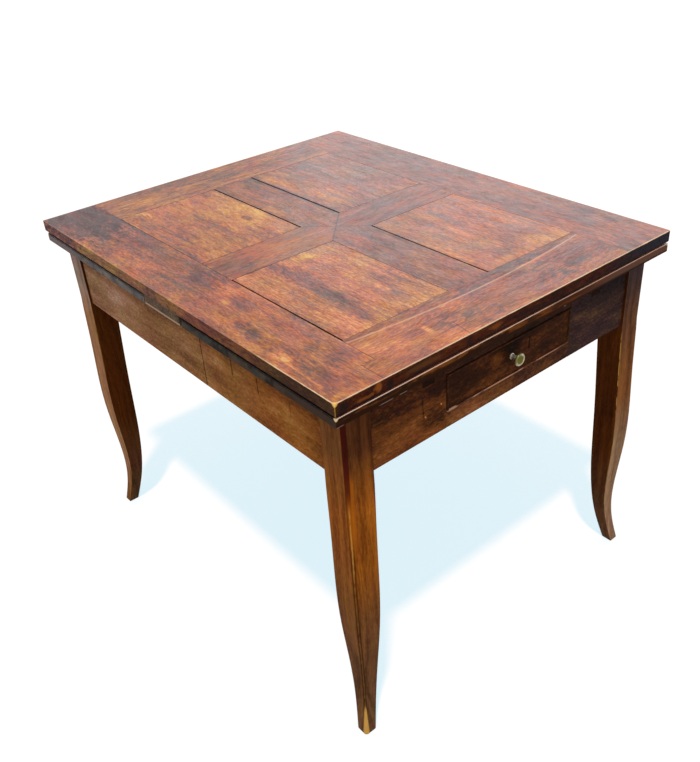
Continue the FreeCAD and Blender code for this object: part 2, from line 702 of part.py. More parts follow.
def save_end_rails():
    near = end_rail(-TOP_Y, RAIL_NEAR_Y, RAIL_NEAR_Y - GROOVE_DEPTH, RAIL_NEAR_Y)
    save("top_end_rail_near", fused(near, near_rail_step()))
    save("top_end_rail_far", end_rail(RAIL_FAR_Y, TOP_Y, RAIL_FAR_Y, RAIL_FAR_Y + GROOVE_DEPTH))


def muntin(mitre_y, rail_y, way):
    # One arm of the cross along Y, pointed where the four arms meet.
    plan = [
        (MUNTIN_LEFT_X, mitre_y),
        (CROSS_SHIFT_X, CROSS_SHIFT_Y),
        (MUNTIN_RIGHT_X, mitre_y),
        (MUNTIN_RIGHT_X, rail_y),
        (MUNTIN_LEFT_X, rail_y),
    ]
    board = prism(plan, TOP_UNDERSIDE, TABLE_HEIGHT)
    y0, y1 = sorted((mitre_y - way * GROOVE_DEPTH, rail_y))
    board = board.cut(groove(MUNTIN_LEFT_X, MUNTIN_LEFT_X + GROOVE_DEPTH, y0, y1))
    board = board.cut(groove(MUNTIN_RIGHT_X - GROOVE_DEPTH, MUNTIN_RIGHT_X, y0, y1))
    y0, y1 = sorted((rail_y, rail_y + way * TONGUE_LENGTH))
    return fused(board, tongue(MUNTIN_LEFT_X, MUNTIN_RIGHT_X, y0, y1))


def guide_peg(side, grow=0.0):
    radius = GUIDE_PEG_DIAMETER / 2 + grow
    start = Vector(side * GUIDE_PEG_X, GUIDE_PEG_Y, GUIDE_PEG_BOTTOM)
    return rod(radius, start, UP, TOP_UNDERSIDE + GUIDE_PEG_SOCKET + grow - GUIDE_PEG_BOTTOM)


def retaining_pin(side, grow=0.0):
    start = Vector(side * GUIDE_PEG_X - PIN_LENGTH / 2, GUIDE_PEG_Y, PIN_Z)
    return rod(PIN_DIAMETER / 2 + grow, start, Vector(1, 0, 0), PIN_LENGTH)


def mid_rail(side):
    # One arm of the cross along X, with the socket of a guide peg in its underside.
    stile_x = STILE_LEFT_X if side < 0 else STILE_RIGHT_X
    mitre_x = MUNTIN_LEFT_X if side < 0 else MUNTIN_RIGHT_X
    plan = [
        (mitre_x, MID_FAR_Y),
        (CROSS_SHIFT_X, CROSS_SHIFT_Y),
        (mitre_x, MID_NEAR_Y),
        (stile_x, MID_NEAR_Y),
        (stile_x, MID_FAR_Y),
    ]
    board = prism(plan, TOP_UNDERSIDE, TABLE_HEIGHT)
    x0, x1 = sorted((mitre_x - side * GROOVE_DEPTH, stile_x))
    board = board.cut(groove(x0, x1, MID_FAR_Y - GROOVE_DEPTH, MID_FAR_Y))
    board = board.cut(groove(x0, x1, MID_NEAR_Y, MID_NEAR_Y + GROOVE_DEPTH))
    x0, x1 = sorted((stile_x, stile_x + side * TONGUE_LENGTH))
    board = fused(board, tongue(x0, x1, MID_NEAR_Y, MID_FAR_Y))
    return board.cut(guide_peg(side, SCREW_HOLE_CLEARANCE))


def save_cross():
    save("top_muntin_near", muntin(MID_NEAR_Y, RAIL_NEAR_Y, -1))
    save("top_muntin_far", muntin(MID_FAR_Y, RAIL_FAR_Y, 1))
    both_sides("top_mid_rail", mid_rail)


def panel(x0, x1, y0, y1, seam_left, seam_right):
    # A flush panel whose tongues fill the grooves round it, with its seams at the face.
    left = x0 + seam_left
    right = x1 - seam_right
    near = y0 + SEAM_TIGHT
    far = y1 - SEAM_TIGHT
    across = tongue(x0 - TONGUE_LENGTH, x1 + TONGUE_LENGTH, near, far)
    along = tongue(left, right, y0 - TONGUE_LENGTH, y1 + TONGUE_LENGTH)
    return fused(slab(left, right, near, far), across, along)


def save_panels():
    left = (STILE_LEFT_X, MUNTIN_LEFT_X)
    right = (MUNTIN_RIGHT_X, STILE_RIGHT_X)
    near = (RAIL_NEAR_Y, MID_NEAR_Y)
    far = (MID_FAR_Y, RAIL_FAR_Y)
    save("top_panel_near_left", panel(*left, *near, SEAM_OPEN, SEAM_TIGHT))
    save("top_panel_near_right", panel(*right, *near, SEAM_OPEN, SEAM_TIGHT))
    save("top_panel_far_left", panel(*left, *far, SEAM_TIGHT, SEAM_OPEN))
    save("top_panel_far_right", panel(*right, *far, SEAM_OPEN, SEAM_TIGHT))


def save_top():
    save_stiles()
    save_end_rails()
    save_cross()
    save_panels()
    pegs = [guide_peg(side).cut(retaining_pin(side, SCREW_HOLE_CLEARANCE)) for side in (-1, 1)]
    save("top_guide_pegs", pegs)
    save("top_retaining_pins", [retaining_pin(-1), retaining_pin(1)])


# Drawer

def knob_screw(grow=0.0):
    head_start = Vector(0, DRAWER_FRONT_REAR + KNOB_SCREW_HEAD_HEIGHT, KNOB_Z)
    outward = Vector(0, -1, 0)
    head = rod(KNOB_SCREW_HEAD_DIAMETER / 2 + grow, head_start, outward, KNOB_SCREW_HEAD_HEIGHT)
    length = KNOB_SCREW_HEAD_HEIGHT + DRAWER_FRONT_THICKNESS + KNOB_SCREW_REACH + grow
    return fused(rod(KNOB_SCREW_DIAMETER / 2 + grow, head_start, outward, length), head)


def drawer_bottom_panel(grow=0.0):
    x = DRAWER_X - DRAWER_SIDE_THICKNESS + DRAWER_BOTTOM_LET_IN + grow
    front = DRAWER_FRONT_REAR - DRAWER_BOTTOM_LET_IN - grow
    z0 = DRAWER_PANEL_Z - grow
    return box(-x, x, front, DRAWER_REAR, z0, z0 + DRAWER_BOTTOM_THICKNESS + 2 * grow)


def drawer_front():
    # A board with a raised field inside the beads, and laps at the back for the sides.
    z0 = DRAWER_BOTTOM_EDGE
    z1 = DRAWER_FRONT_TOP
    seat = DRAWER_FRONT_FACE + BEAD_SEAT
    field_x = DRAWER_X - BEAD_WIDTH
    board = box(-DRAWER_X, DRAWER_X, seat, DRAWER_FRONT_REAR, z0, z1)
    field = box(-field_x, field_x, DRAWER_FRONT_FACE, seat, z0 + BEAD_WIDTH, z1 - BEAD_WIDTH)
    board = fused(board, field)
    for side in (-1, 1):
        board = board.cut(drawer_side_blank(side))
    return board.cut(drawer_bottom_panel(JOINT_CLEARANCE)).cut(knob_screw(SCREW_HOLE_CLEARANCE))


def drawer_side_blank(side):
    x0, x1 = sorted((side * (DRAWER_X - DRAWER_SIDE_THICKNESS), side * DRAWER_X))
    front = DRAWER_FRONT_REAR - DRAWER_SIDE_LAP
    return box(x0, x1, front, DRAWER_REAR, DRAWER_BOTTOM_EDGE, DRAWER_SIDE_TOP)


def drawer_side(side):
    return drawer_side_blank(side).cut(drawer_bottom_panel(JOINT_CLEARANCE))


def drawer_back():
    x = DRAWER_X - DRAWER_SIDE_THICKNESS
    z0 = DRAWER_PANEL_Z + DRAWER_BOTTOM_THICKNESS
    return box(-x, x, DRAWER_REAR - DRAWER_BACK_THICKNESS, DRAWER_REAR, z0, DRAWER_SIDE_TOP)


def bead_strip(angle, half_length, reach):
    # A half round strip along the lower edge of a frame, cut to a mitre at both ends and
    # turned about the middle of the drawer front to its own edge.
    radius = BEAD_WIDTH / 2
    seat = DRAWER_FRONT_FACE + BEAD_SEAT
    crown = DRAWER_FRONT_FACE - BEAD_PROUD + radius
    low = DRAWER_MIDDLE_Z - reach
    strip = box(-half_length, half_length, crown, seat, low, low + BEAD_WIDTH)
    nose = rod(radius, Vector(-half_length, crown, low + radius), Vector(1, 0, 0), 2 * half_length)
    front = crown - radius
    mitre = Part.Face(outline([
        Vector(-half_length, front, low),
        Vector(-half_length + BEAD_WIDTH, front, low + BEAD_WIDTH),
        Vector(half_length - BEAD_WIDTH, front, low + BEAD_WIDTH),
        Vector(half_length, front, low),
    ])).extrude(Vector(0, seat - front, 0))
    strip = fused(strip, nose).common(mitre)
    strip.rotate(Vector(0, 0, DRAWER_MIDDLE_Z), INWARD, angle)
    return strip


def cock_beads():
    half_height = (DRAWER_FRONT_TOP - DRAWER_BOTTOM_EDGE) / 2
    return [
        bead_strip(0, DRAWER_X, half_height),
        bead_strip(90, half_height, DRAWER_X),
        bead_strip(180, DRAWER_X, half_height),
        bead_strip(270, half_height, DRAWER_X),
    ]


def bezier(*poles):
    curve = Part.BezierCurve()
    curve.setPoles(list(poles))
    return curve.toShape()


def knob():
    # Turned profile from the rosette along the neck to a mushroom head with a dished face.
    head = KNOB_DIAMETER / 2
    neck = KNOB_NECK_DIAMETER / 2
    rosette = KNOB_ROSETTE_DIAMETER / 2
    dish = KNOB_DISH_DIAMETER / 2
    head_back = KNOB_PROJECTION - KNOB_HEAD_THICKNESS
    rim = KNOB_PROJECTION - KNOB_HEAD_THICKNESS / 2
    floor = KNOB_PROJECTION - KNOB_DISH_DEPTH
    hollow = (dish ** 2 + KNOB_DISH_DEPTH ** 2) / (2 * KNOB_DISH_DEPTH)
    hollow_rise = hollow - math.sqrt(hollow ** 2 - (dish / 2) ** 2)

    def at(radius, out):
        return Vector(radius, DRAWER_FRONT_FACE - out, KNOB_Z)

    edge = at(rosette, KNOB_ROSETTE_THICKNESS)
    waist = at(neck, KNOB_WAIST)
    profile = Part.Wire([
        Part.makeLine(at(0, 0), at(rosette, 0)),
        Part.makeLine(at(rosette, 0), edge),
        bezier(edge, at(neck, KNOB_ROSETTE_THICKNESS), waist),
        bezier(waist, at(neck, head_back), at(head, head_back), at(head, rim)),
        bezier(at(head, rim), at(head, KNOB_PROJECTION), at(dish, KNOB_PROJECTION)),
        Part.Arc(at(dish, KNOB_PROJECTION), at(dish / 2, floor + hollow_rise), at(0, floor)).toShape(),
        Part.makeLine(at(0, floor), at(0, 0)),
    ])
    body = Part.Face(profile).revolve(Vector(0, 0, KNOB_Z), INWARD, 360)
    return body.cut(knob_screw(SCREW_HOLE_CLEARANCE))


def save_drawer():
    save("drawer_front", drawer_front())
    both_sides("drawer_side", drawer_side)
    save("drawer_back", drawer_back())
    save("drawer_bottom", drawer_bottom_panel())
    save("drawer_cock_beads", cock_beads())
    save("drawer_knob", knob())
    save("knob_screw", knob_screw())


os.makedirs("parts", exist_ok=True)
save_corners("leg", near_left_leg())
save_corners("corner_block", near_left_corner_block())
save_long_aprons()
save_end_aprons()
save_frame_middle()
save_frame_screws()
save_drawer_supports()
save_leaves()
save_top()
save_drawer()
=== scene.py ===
"""The look of a draw-leaf table: worn varnished wood, a brass knob and a pale studio."""
import math
from collections import namedtuple

import bpy
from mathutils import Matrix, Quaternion, Vector


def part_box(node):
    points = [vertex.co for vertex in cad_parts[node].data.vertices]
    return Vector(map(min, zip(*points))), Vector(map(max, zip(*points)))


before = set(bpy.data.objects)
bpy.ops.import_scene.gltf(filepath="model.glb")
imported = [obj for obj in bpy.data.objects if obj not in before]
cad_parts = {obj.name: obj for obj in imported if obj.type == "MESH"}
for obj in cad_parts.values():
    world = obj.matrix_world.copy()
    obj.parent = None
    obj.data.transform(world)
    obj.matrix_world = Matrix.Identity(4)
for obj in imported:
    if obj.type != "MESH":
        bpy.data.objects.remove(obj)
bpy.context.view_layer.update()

# The photograph's frame and lens axis in pixels, and the camera in metres and degrees
IMAGE_WIDTH = 700
IMAGE_HEIGHT = 762
LENS_AXIS_U = 362.8
LENS_AXIS_V = 391.0
FOCAL_PIXELS = 860.2
SENSOR_MM = 36.0
CAMERA_AT = Vector((-1.00031, -1.30157, 1.45345))
CAMERA_TARGET = Vector((-0.09498, -0.16823, 0.5))
CAMERA_ROLL = -3.764

# Light: a soft sun from above the camera's shoulder, an even white room and a panel at the back
SUN_FROM = Vector((-0.2545, -0.2693, 0.9288))
SUN_DISTANCE = 4.0
SUN_STRENGTH = 1.78
SUN_SPREAD = 3.5
ROOM_STRENGTH = 0.46
ROOM_COLOUR = (1.0, 1.0, 1.0, 1.0)
SOFTBOX_AT = Vector((3.39, 2.25, 2.4))
SOFTBOX_AIM = Vector((0.0, 0.0, 0.78))
SOFTBOX_SIZE = (3.6, 1.35)
SOFTBOX_RADIANCE = 1.44
SOFTBOX_COLOUR = (1.0, 0.95, 0.97)
FLOOR_SIZE = 60.0
FLOOR_COLOUR = (0.86, 0.86, 0.86, 1.0)
# What the camera adds to the floor, so that the lit floor is white and the shadow pale blue
FLOOR_LIFT = (0.54, 0.8, 0.9, 1.0)
FLOOR_SHADE = (0.52, 0.24, 0.13, 1.0)

# Places on the table, read from the frame
TOP_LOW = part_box("top_stile_left")[0]
TOP_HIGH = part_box("top_stile_right")[1]
TOP_Z = TOP_HIGH.z
MUNTIN_LOW_X, MUNTIN_HIGH_X = (corner.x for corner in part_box("top_muntin_near"))
MID_LOW_Y, MID_HIGH_Y = (corner.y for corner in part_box("top_mid_rail_left"))
CROSS_X = (MUNTIN_LOW_X + MUNTIN_HIGH_X) / 2
CROSS_Y = (MID_LOW_Y + MID_HIGH_Y) / 2
APRON_SEAM_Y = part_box("left_apron_near")[1].y
# Planes that carry marks: two axes to measure along, the third axis, and the place on that
TOP_PLANE = ("xyz", TOP_Z)
LEFT_PLANE = ("yzx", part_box("left_apron_near")[0].x)
END_PLANE = ("xzy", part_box("drawer_apron_left")[0].y)

# Varnished colours from the darkest stain to bare worn wood, as places on a ramp
TOP_RAMP = (
    (0.0, (0.045, 0.015, 0.013)), (0.25, (0.14, 0.04, 0.026)), (0.45, (0.31, 0.08, 0.029)),
    (0.6, (0.44, 0.124, 0.031)), (0.78, (0.6, 0.19, 0.036)), (1.0, (0.74, 0.38, 0.105)),
)
SIDE_RAMP = (
    (0.0, (0.01, 0.005, 0.003)), (0.25, (0.046, 0.016, 0.006)), (0.5, (0.165, 0.055, 0.012)),
    (0.7, (0.3, 0.115, 0.026)), (0.85, (0.41, 0.19, 0.058)), (1.0, (0.56, 0.33, 0.13)),
)
BARE_RAMP = (
    (0.0, (0.12, 0.06, 0.025)), (0.5, (0.36, 0.2, 0.085)), (1.0, (0.58, 0.37, 0.18)),
)
# The varnish leans from rose to olive in patches
ROSE = (1.05, 0.9, 1.15)
OLIVE = (0.965, 1.1, 0.84)
# Bare wood where the varnish has gone from an edge
BARE_CREAM = (0.82, 0.57, 0.34)
BARE_PINK = (0.8, 0.58, 0.45)
BARE_OCHRE = (0.6, 0.32, 0.07)
BARE_GOLD = (0.9, 0.55, 0.15)
DARK_RED = (0.06, 0.006, 0.004)

# A layer of grain: noise scale along and across the grain, detail, roughness, pull on the spread
Layer = namedtuple("Layer", "along across detail roughness pull")
TOP_GRAIN = dict(
    mottle=Layer(10.0, 34.0, 4.0, 0.66, 0.8),
    streak=Layer(4.0, 130.0, 3.0, 0.66, 0.75),
    fibre=Layer(90.0, 330.0, 3.0, 0.68, 1.4),
    flake=Layer(16.0, 32.0, 3.0, 0.55, 0.12),
    scratch=Layer(22.0, 190.0, 2.0, 0.6, 0.13),
    cloud=0.6,
    lean=1.0,
)
SIDE_GRAIN = dict(
    mottle=Layer(14.0, 36.0, 4.0, 0.64, 0.55),
    streak=Layer(2.5, 110.0, 3.0, 0.64, 0.26),
    fibre=Layer(120.0, 330.0, 3.0, 0.65, 0.7),
    flake=Layer(10.0, 40.0, 3.0, 0.55, 0.04),
    scratch=Layer(12.0, 240.0, 1.0, 0.5, 0.06),
    cloud=0.45,
    lean=0.45,
)
LEG_GRAIN = dict(
    mottle=Layer(5.0, 60.0, 3.0, 0.6, 0.4),
    streak=Layer(1.6, 90.0, 3.0, 0.6, 0.7),
    fibre=Layer(60.0, 330.0, 3.0, 0.65, 0.5),
    flake=Layer(6.0, 60.0, 3.0, 0.55, 0.04),
    scratch=Layer(12.0, 240.0, 1.0, 0.5, 0.05),
    cloud=0.25,
    lean=0.35,
)
CLOUD_SCALE = 5.5
LEAN_SCALE = 15.0
# The grain's slow waves pull in metres, the edges of marks and the wear of the sheen in shares
WANDER = Layer(3.0, 9.0, 2.0, 0.55, 0.04)
RAGGED = Layer(60.0, 110.0, 3.0, 0.65, 1.6)
SHEEN_WEAR = Layer(20.0, 60.0, 5.0, 0.75, 3.6)
SHEEN_START = -0.8
# How far a board's seed, or a turn of the scratches, moves it through the noise
SEED_STEPS = (7.31, 3.17, 5.53)
SCRATCH_SEED_STEPS = (2.71, 1.37)
SCRATCH_TURNS = (0.0, 0.3, -0.85)
SCRATCH_TURN_STEP = 9.0
# A mask's values: where it starts and where it is full, then what full and start are if not 1 and 0
FLAKES = (0.46, 0.54)
LIGHT_STROKES = (0.6, 0.7, 0.5)
DARK_STROKES = (0.4, 0.3, -0.5)
LEAN_RANGE = (0.34, 0.66)
SPOT_EDGE = (1.3, 0.35)
# The full part of a line and of an arris, as shares of their widths
LINE_CORE = 0.25
ARRIS_CORE = 0.4
# A half size that reaches past the whole table
FAR = 10.0

# Relief, roughness and sheen of the varnish, and how far the arrises are eased, in metres
PORE_RELIEF = 0.3
PORE_DEPTH = 0.0006
ROUGHNESS_SPAN = 0.24
ROUGHNESS = dict(top=0.3, leaf=0.36, side=0.55, inner=0.65)
TOP_SHEEN = 0.385
EDGE_SHEEN = 0.01
SIDE_SHEEN = 0.012
INNER_SHEEN = 0.15
EASE = dict(top=0.0005, cross=0.0005, inner=0.0006, apron=0.0008, leaf=0.001, leg=0.0018)
EASE_ANGLE = 32
EASE_SEGMENTS = 2
WELD_DISTANCE = 0.00002


def in_metres(axes, u, v, third):
    """A point from millimetres along two axes and metres along the third."""
    parts = dict(zip(axes, (u / 1000, v / 1000, third)))
    return tuple(parts[axis] for axis in "xyz")


class Graph:
    """Short calls that add nodes to one node tree and wire them."""

    def __init__(self, tree):
        self.nodes = tree.nodes
        self.links = tree.links
        self.nodes.clear()

    def feed(self, socket, value):
        """Wires a socket to another node, or writes a plain value on it."""
        if isinstance(value, bpy.types.NodeSocket):
            self.links.new(value, socket)
        elif hasattr(socket.default_value, "__len__"):
            room = len(socket.default_value)
            socket.default_value = (tuple(value) + (1.0,))[:room]
        else:
            socket.default_value = value

    def add(self, kind, inputs=(), **settings):
        node = self.nodes.new(kind)
        for key, value in settings.items():
            setattr(node, key, value)
        for key, value in dict(inputs).items():
            self.feed(node.inputs[key], value)
        return node

    def math(self, operation, *values):
        return self.add("ShaderNodeMath", enumerate(values), operation=operation).outputs[0]

    def vector(self, operation, *values):
        node = self.add("ShaderNodeVectorMath", enumerate(values), operation=operation)
        scalar = operation in ("LENGTH", "DOT_PRODUCT", "DISTANCE")
        return node.outputs["Value" if scalar else "Vector"]

    def fold(self, operation, first, *rest):
        for value in rest:
            first = self.math(operation, first, value)
        return first

    def total(self, *values):
        return self.fold("ADD", *values)

    def product(self, *values):
        return self.fold("MULTIPLY", *values)

    def scaled(self, value, gain, offset=0.0):
        return self.math("MULTIPLY_ADD", value, gain, offset)

    def centred(self, pattern, span):
        """A pattern of 0 to 1 as a pull to both sides of nothing."""
        return self.scaled(pattern, span, -span / 2)

    def away(self, value, place):
        """How far a value lies from a place."""
        return self.math("ABSOLUTE", self.math("SUBTRACT", value, place))

    def smooth(self, value, start, end, full=1.0, least=0.0):
        """Goes smoothly from least at start to full at end. Start may be the larger."""
        inputs = {0: value, 1: start, 2: end, 3: least, 4: full}
        return self.add("ShaderNodeMapRange", inputs, interpolation_type="SMOOTHSTEP").outputs[0]

    def band(self, value, first, second):
        """1 where a value is past both of two steps."""
        return self.product(self.smooth(value, *first), self.smooth(value, *second))

    def noise(self, vector, scale=1.0, detail=3.0, roughness=0.55):
        inputs = {"Vector": vector, "Scale": scale, "Detail": detail, "Roughness": roughness}
        return self.add("ShaderNodeTexNoise", inputs).outputs["Fac"]

    def mix(self, factor, first, second, blend="MIX"):
        inputs = {0: factor, 6: first, 7: second}
        settings = {"data_type": "RGBA", "blend_type": blend}
        return self.add("ShaderNodeMix", inputs, **settings).outputs[2]

    def ramp(self, value, *stops):
        node = self.add("ShaderNodeValToRGB", {0: value})
        elements = node.color_ramp.elements
        while len(elements) < len(stops):
            elements.new(0.5)
        for element, (place, colour) in zip(elements, stops):
            element.position = place
            element.color = tuple(colour) + (1.0,)
        return node.outputs["Color"]

    def split(self, vector):
        return dict(zip("xyz", self.add("ShaderNodeSeparateXYZ", {0: vector}).outputs))

    def join(self, *parts):
        return self.add("ShaderNodeCombineXYZ", enumerate(parts)).outputs[0]

    def seen_directly(self):
        """1 for rays from the camera, a mirror or glass, 0 for the rays that carry light."""
        path = self.add("ShaderNodeLightPath").outputs
        kinds = ("Is Camera Ray", "Is Glossy Ray", "Is Transmission Ray")
        return self.fold("MAXIMUM", *(path[kind] for kind in kinds))


class Surface(Graph):
    """One material. Places are in the table's own metres."""

    def __init__(self, name):
        self.material = bpy.data.materials.new(name)
        self.material.use_nodes = True
        super().__init__(self.material.node_tree)
        place = self.add("ShaderNodeTexCoord")
        self.facing = self.split(place.outputs["Normal"])
        self.point = place.outputs["Object"]
        self.at = self.split(self.point)
        self.x, self.y, self.z = self.at.values()

    def above(self, level):
        return self.math("SUBTRACT", self.z, level)

    def faces(self, axis, sign=1.0, start=0.45, end=0.75):
        """1 on faces that look along an axis."""
        return self.smooth(self.scaled(self.facing[axis], sign), start, end)

    def finish(self, inputs):
        shader = self.add("ShaderNodeBsdfPrincipled", inputs)
        self.add("ShaderNodeOutputMaterial", {"Surface": shader.outputs[0]})
        return self.material


class Wood(Surface):
    """One board's wood.

    A spread value, about 0 to 1, runs from the darkest stain to bare worn wood. Grain, clouds,
    spots and scratches all shift it, and a ramp turns it into the varnished colour. A lean
    value moves that colour from rose to olive.
    """

    def __init__(self, name, grain, seed, bias, layers, contrast):
        super().__init__(name)
        self.along, self.across, self.depth = (self.at[axis] for axis in grain)
        self.seed = seed
        self.across = self.total(self.across, self.centred(self.layer(WANDER), WANDER.pull))
        self.mottle = self.layer(layers["mottle"])
        self.fibre = self.layer(layers["fibre"])
        self.ragged = self.layer(RAGGED)
        self.lean = self.noise(self.point, LEAN_SCALE, detail=3.0, roughness=0.6)
        self.lean_share = layers["lean"]
        self.spread = bias
        self.dull = 0.0
        self.colour = None
        pulls = (
            (self.noise(self.point, CLOUD_SCALE, detail=2.0), layers["cloud"]),
            (self.mottle, layers["mottle"].pull),
            (self.layer(layers["streak"]), layers["streak"].pull),
            (self.fibre, layers["fibre"].pull),
            (self.smooth(self.layer(layers["flake"]), *FLAKES), layers["flake"].pull),
            (self.scratches(layers["scratch"]), layers["scratch"].pull),
        )
        for pattern, pull in pulls:
            self.spread = self.total(self.spread, self.centred(pattern, pull * contrast))

    def grain_space(self, along, across):
        """Coordinates stretched along the grain, moved to this board's own place in the noise."""
        axes = zip((self.along, self.across, self.depth), (along, across, across), SEED_STEPS)
        return self.join(*(self.scaled(axis, scale, self.seed * step) for axis, scale, step in axes))

    def layer(self, layer):
        where = self.grain_space(layer.along, layer.across)
        return self.noise(where, detail=layer.detail, roughness=layer.roughness)

    def scratches(self, layer):
        """Short strokes at several turns to the grain, light above 0.5 and dark below it."""
        strokes = 0.5
        along_step, depth_step = SCRATCH_SEED_STEPS
        for turn in SCRATCH_TURNS:
            c, s = math.cos(turn), math.sin(turn)
            along = self.total(self.scaled(self.along, c), self.scaled(self.across, s))
            across = self.total(self.scaled(self.along, -s), self.scaled(self.across, c))
            where = self.join(
                self.scaled(along, layer.along, self.seed * along_step),
                self.scaled(across, layer.across, turn * SCRATCH_TURN_STEP),
                self.scaled(self.depth, layer.across, self.seed * depth_step),
            )
            pattern = self.noise(where, detail=layer.detail, roughness=layer.roughness)
            light = self.smooth(pattern, *LIGHT_STROKES)
            dark = self.smooth(pattern, *DARK_STROKES)
            strokes = self.total(strokes, light, dark)
        return strokes

    def shift(self, amount, *masks):
        self.spread = self.total(self.spread, self.scaled(self.product(*masks), amount))

    def roughened(self, distance, span):
        """A distance whose contours are ragged by a span."""
        return self.total(distance, self.centred(self.ragged, span))

    def about(self, centre, reach):
        """1 at a point, falling to 0 in a soft and ragged way at its half sizes."""
        offset = self.vector("SUBTRACT", self.point, centre)
        shares = self.vector("MULTIPLY", offset, tuple(1.0 / r for r in reach))
        distance = self.roughened(self.vector("LENGTH", shares), RAGGED.pull)
        return self.smooth(distance, *SPOT_EDGE)

    def spots(self, plane, marks):
        """Stains (below 0) and worn places (above 0) on a plane."""
        axes, place = plane
        for u, v, half_u, half_v, amount, *lean in marks:
            mask = self.about(in_metres(axes, u, v, place), in_metres(axes, half_u, half_v, FAR))
            self.shift(amount, mask)
            if lean:
                self.lean = self.total(self.lean, self.scaled(mask, *lean))

    def lines(self, plane, marks):
        """Scratches and cracks on a plane."""
        axes, place = plane
        for u0, v0, u1, v1, width_mm, amount in marks:
            width = width_mm / 1000
            start = Vector(in_metres(axes, u0, v0, place))
            run = Vector(in_metres(axes, u1, v1, place)) - start
            offset = self.vector("SUBTRACT", self.point, start)
            share = self.vector("DOT_PRODUCT", offset, run / run.length_squared)
            share = self.math("MINIMUM", self.math("MAXIMUM", share, 0.0), 1.0)
            nearest = self.add("ShaderNodeVectorMath", {0: run, "Scale": share}, operation="SCALE")
            distance = self.roughened(self.vector("DISTANCE", offset, nearest.outputs[0]), width)
            self.shift(amount, self.smooth(distance, width, width * LINE_CORE))

    def arris(self, width, ragged, full=1.0, **planes):
        """Full along the edge where two planes meet, each an axis and its place."""
        gaps = [self.away(self.at[axis], place) for axis, place in planes.items()]
        distance = self.roughened(self.fold("MAXIMUM", *gaps), ragged)
        return self.smooth(distance, width, width * ARRIS_CORE, full)

    def paint(self, ramp, tint=None):
        """Turns the spread into colour. A tint multiplies the ramp for one board."""
        self.colour = self.ramp(self.spread, *ramp)
        self.lean_tint()
        if tint:
            self.tint(tint, 1.0)

    def lean_tint(self):
        self.tint(self.mix(self.smooth(self.lean, *LEAN_RANGE), ROSE, OLIVE), self.lean_share)

    def tint(self, factor, *masks):
        self.colour = self.mix(self.product(*masks), self.colour, factor, "MULTIPLY")

    def cover(self, colour, *masks):
        self.colour = self.mix(self.product(*masks), self.colour, colour)

    def patchy_sheen(self):
        """The sheen of faces that look up, broken by wear and by dirty seams, and of the edges."""
        worn = self.scaled(self.layer(SHEEN_WEAR), SHEEN_WEAR.pull, SHEEN_START)
        clean = self.scaled(self.dull, -1.0, 1.0)
        return self.total(self.product(worn, TOP_SHEEN, clean, self.faces("z")), EDGE_SHEEN)

    def done(self, roughness, sheen):
        pores = self.total(self.scaled(self.fibre, 0.5), self.scaled(self.mottle, 0.5))
        relief = {"Strength": PORE_RELIEF, "Distance": PORE_DEPTH, "Height": pores}
        return self.finish({
            "Base Color": self.colour,
            "Roughness": self.scaled(self.mottle, ROUGHNESS_SPAN, roughness - ROUGHNESS_SPAN / 2),
            "Specular IOR Level": sheen,
            "Normal": self.add("ShaderNodeBump", relief).outputs[0],
        })


def dress(node, material, ease=0.0):
    """Puts a material on a CAD node and eases its arrises."""
    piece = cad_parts[node]
    for slot in piece.material_slots:
        slot.material = material
    if not ease:
        return
    weld = piece.modifiers.new("join_faces", "WELD")
    weld.merge_threshold = WELD_DISTANCE
    bevel = piece.modifiers.new("ease_arris", "BEVEL")
    bevel.width = ease
    bevel.segments = EASE_SEGMENTS
    bevel.limit_method = "ANGLE"
    bevel.angle_limit = math.radians(EASE_ANGLE)
    bevel.use_clamp_overlap = True
    shade = piece.modifiers.new("even_shading", "WEIGHTED_NORMAL")
    shade.keep_sharp = False


# Seams of the top: an axis and a place on it
SEAMS = {
    "stile_left": ("x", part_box("top_stile_left")[1].x),
    "stile_right": ("x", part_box("top_stile_right")[0].x),
    "rail_far": ("y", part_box("top_end_rail_far")[0].y),
    "muntin_left": ("x", MUNTIN_LOW_X),
    "muntin_right": ("x", MUNTIN_HIGH_X),
    "mid_near": ("y", MID_LOW_Y),
    "mid_far": ("y", MID_HIGH_Y),
}
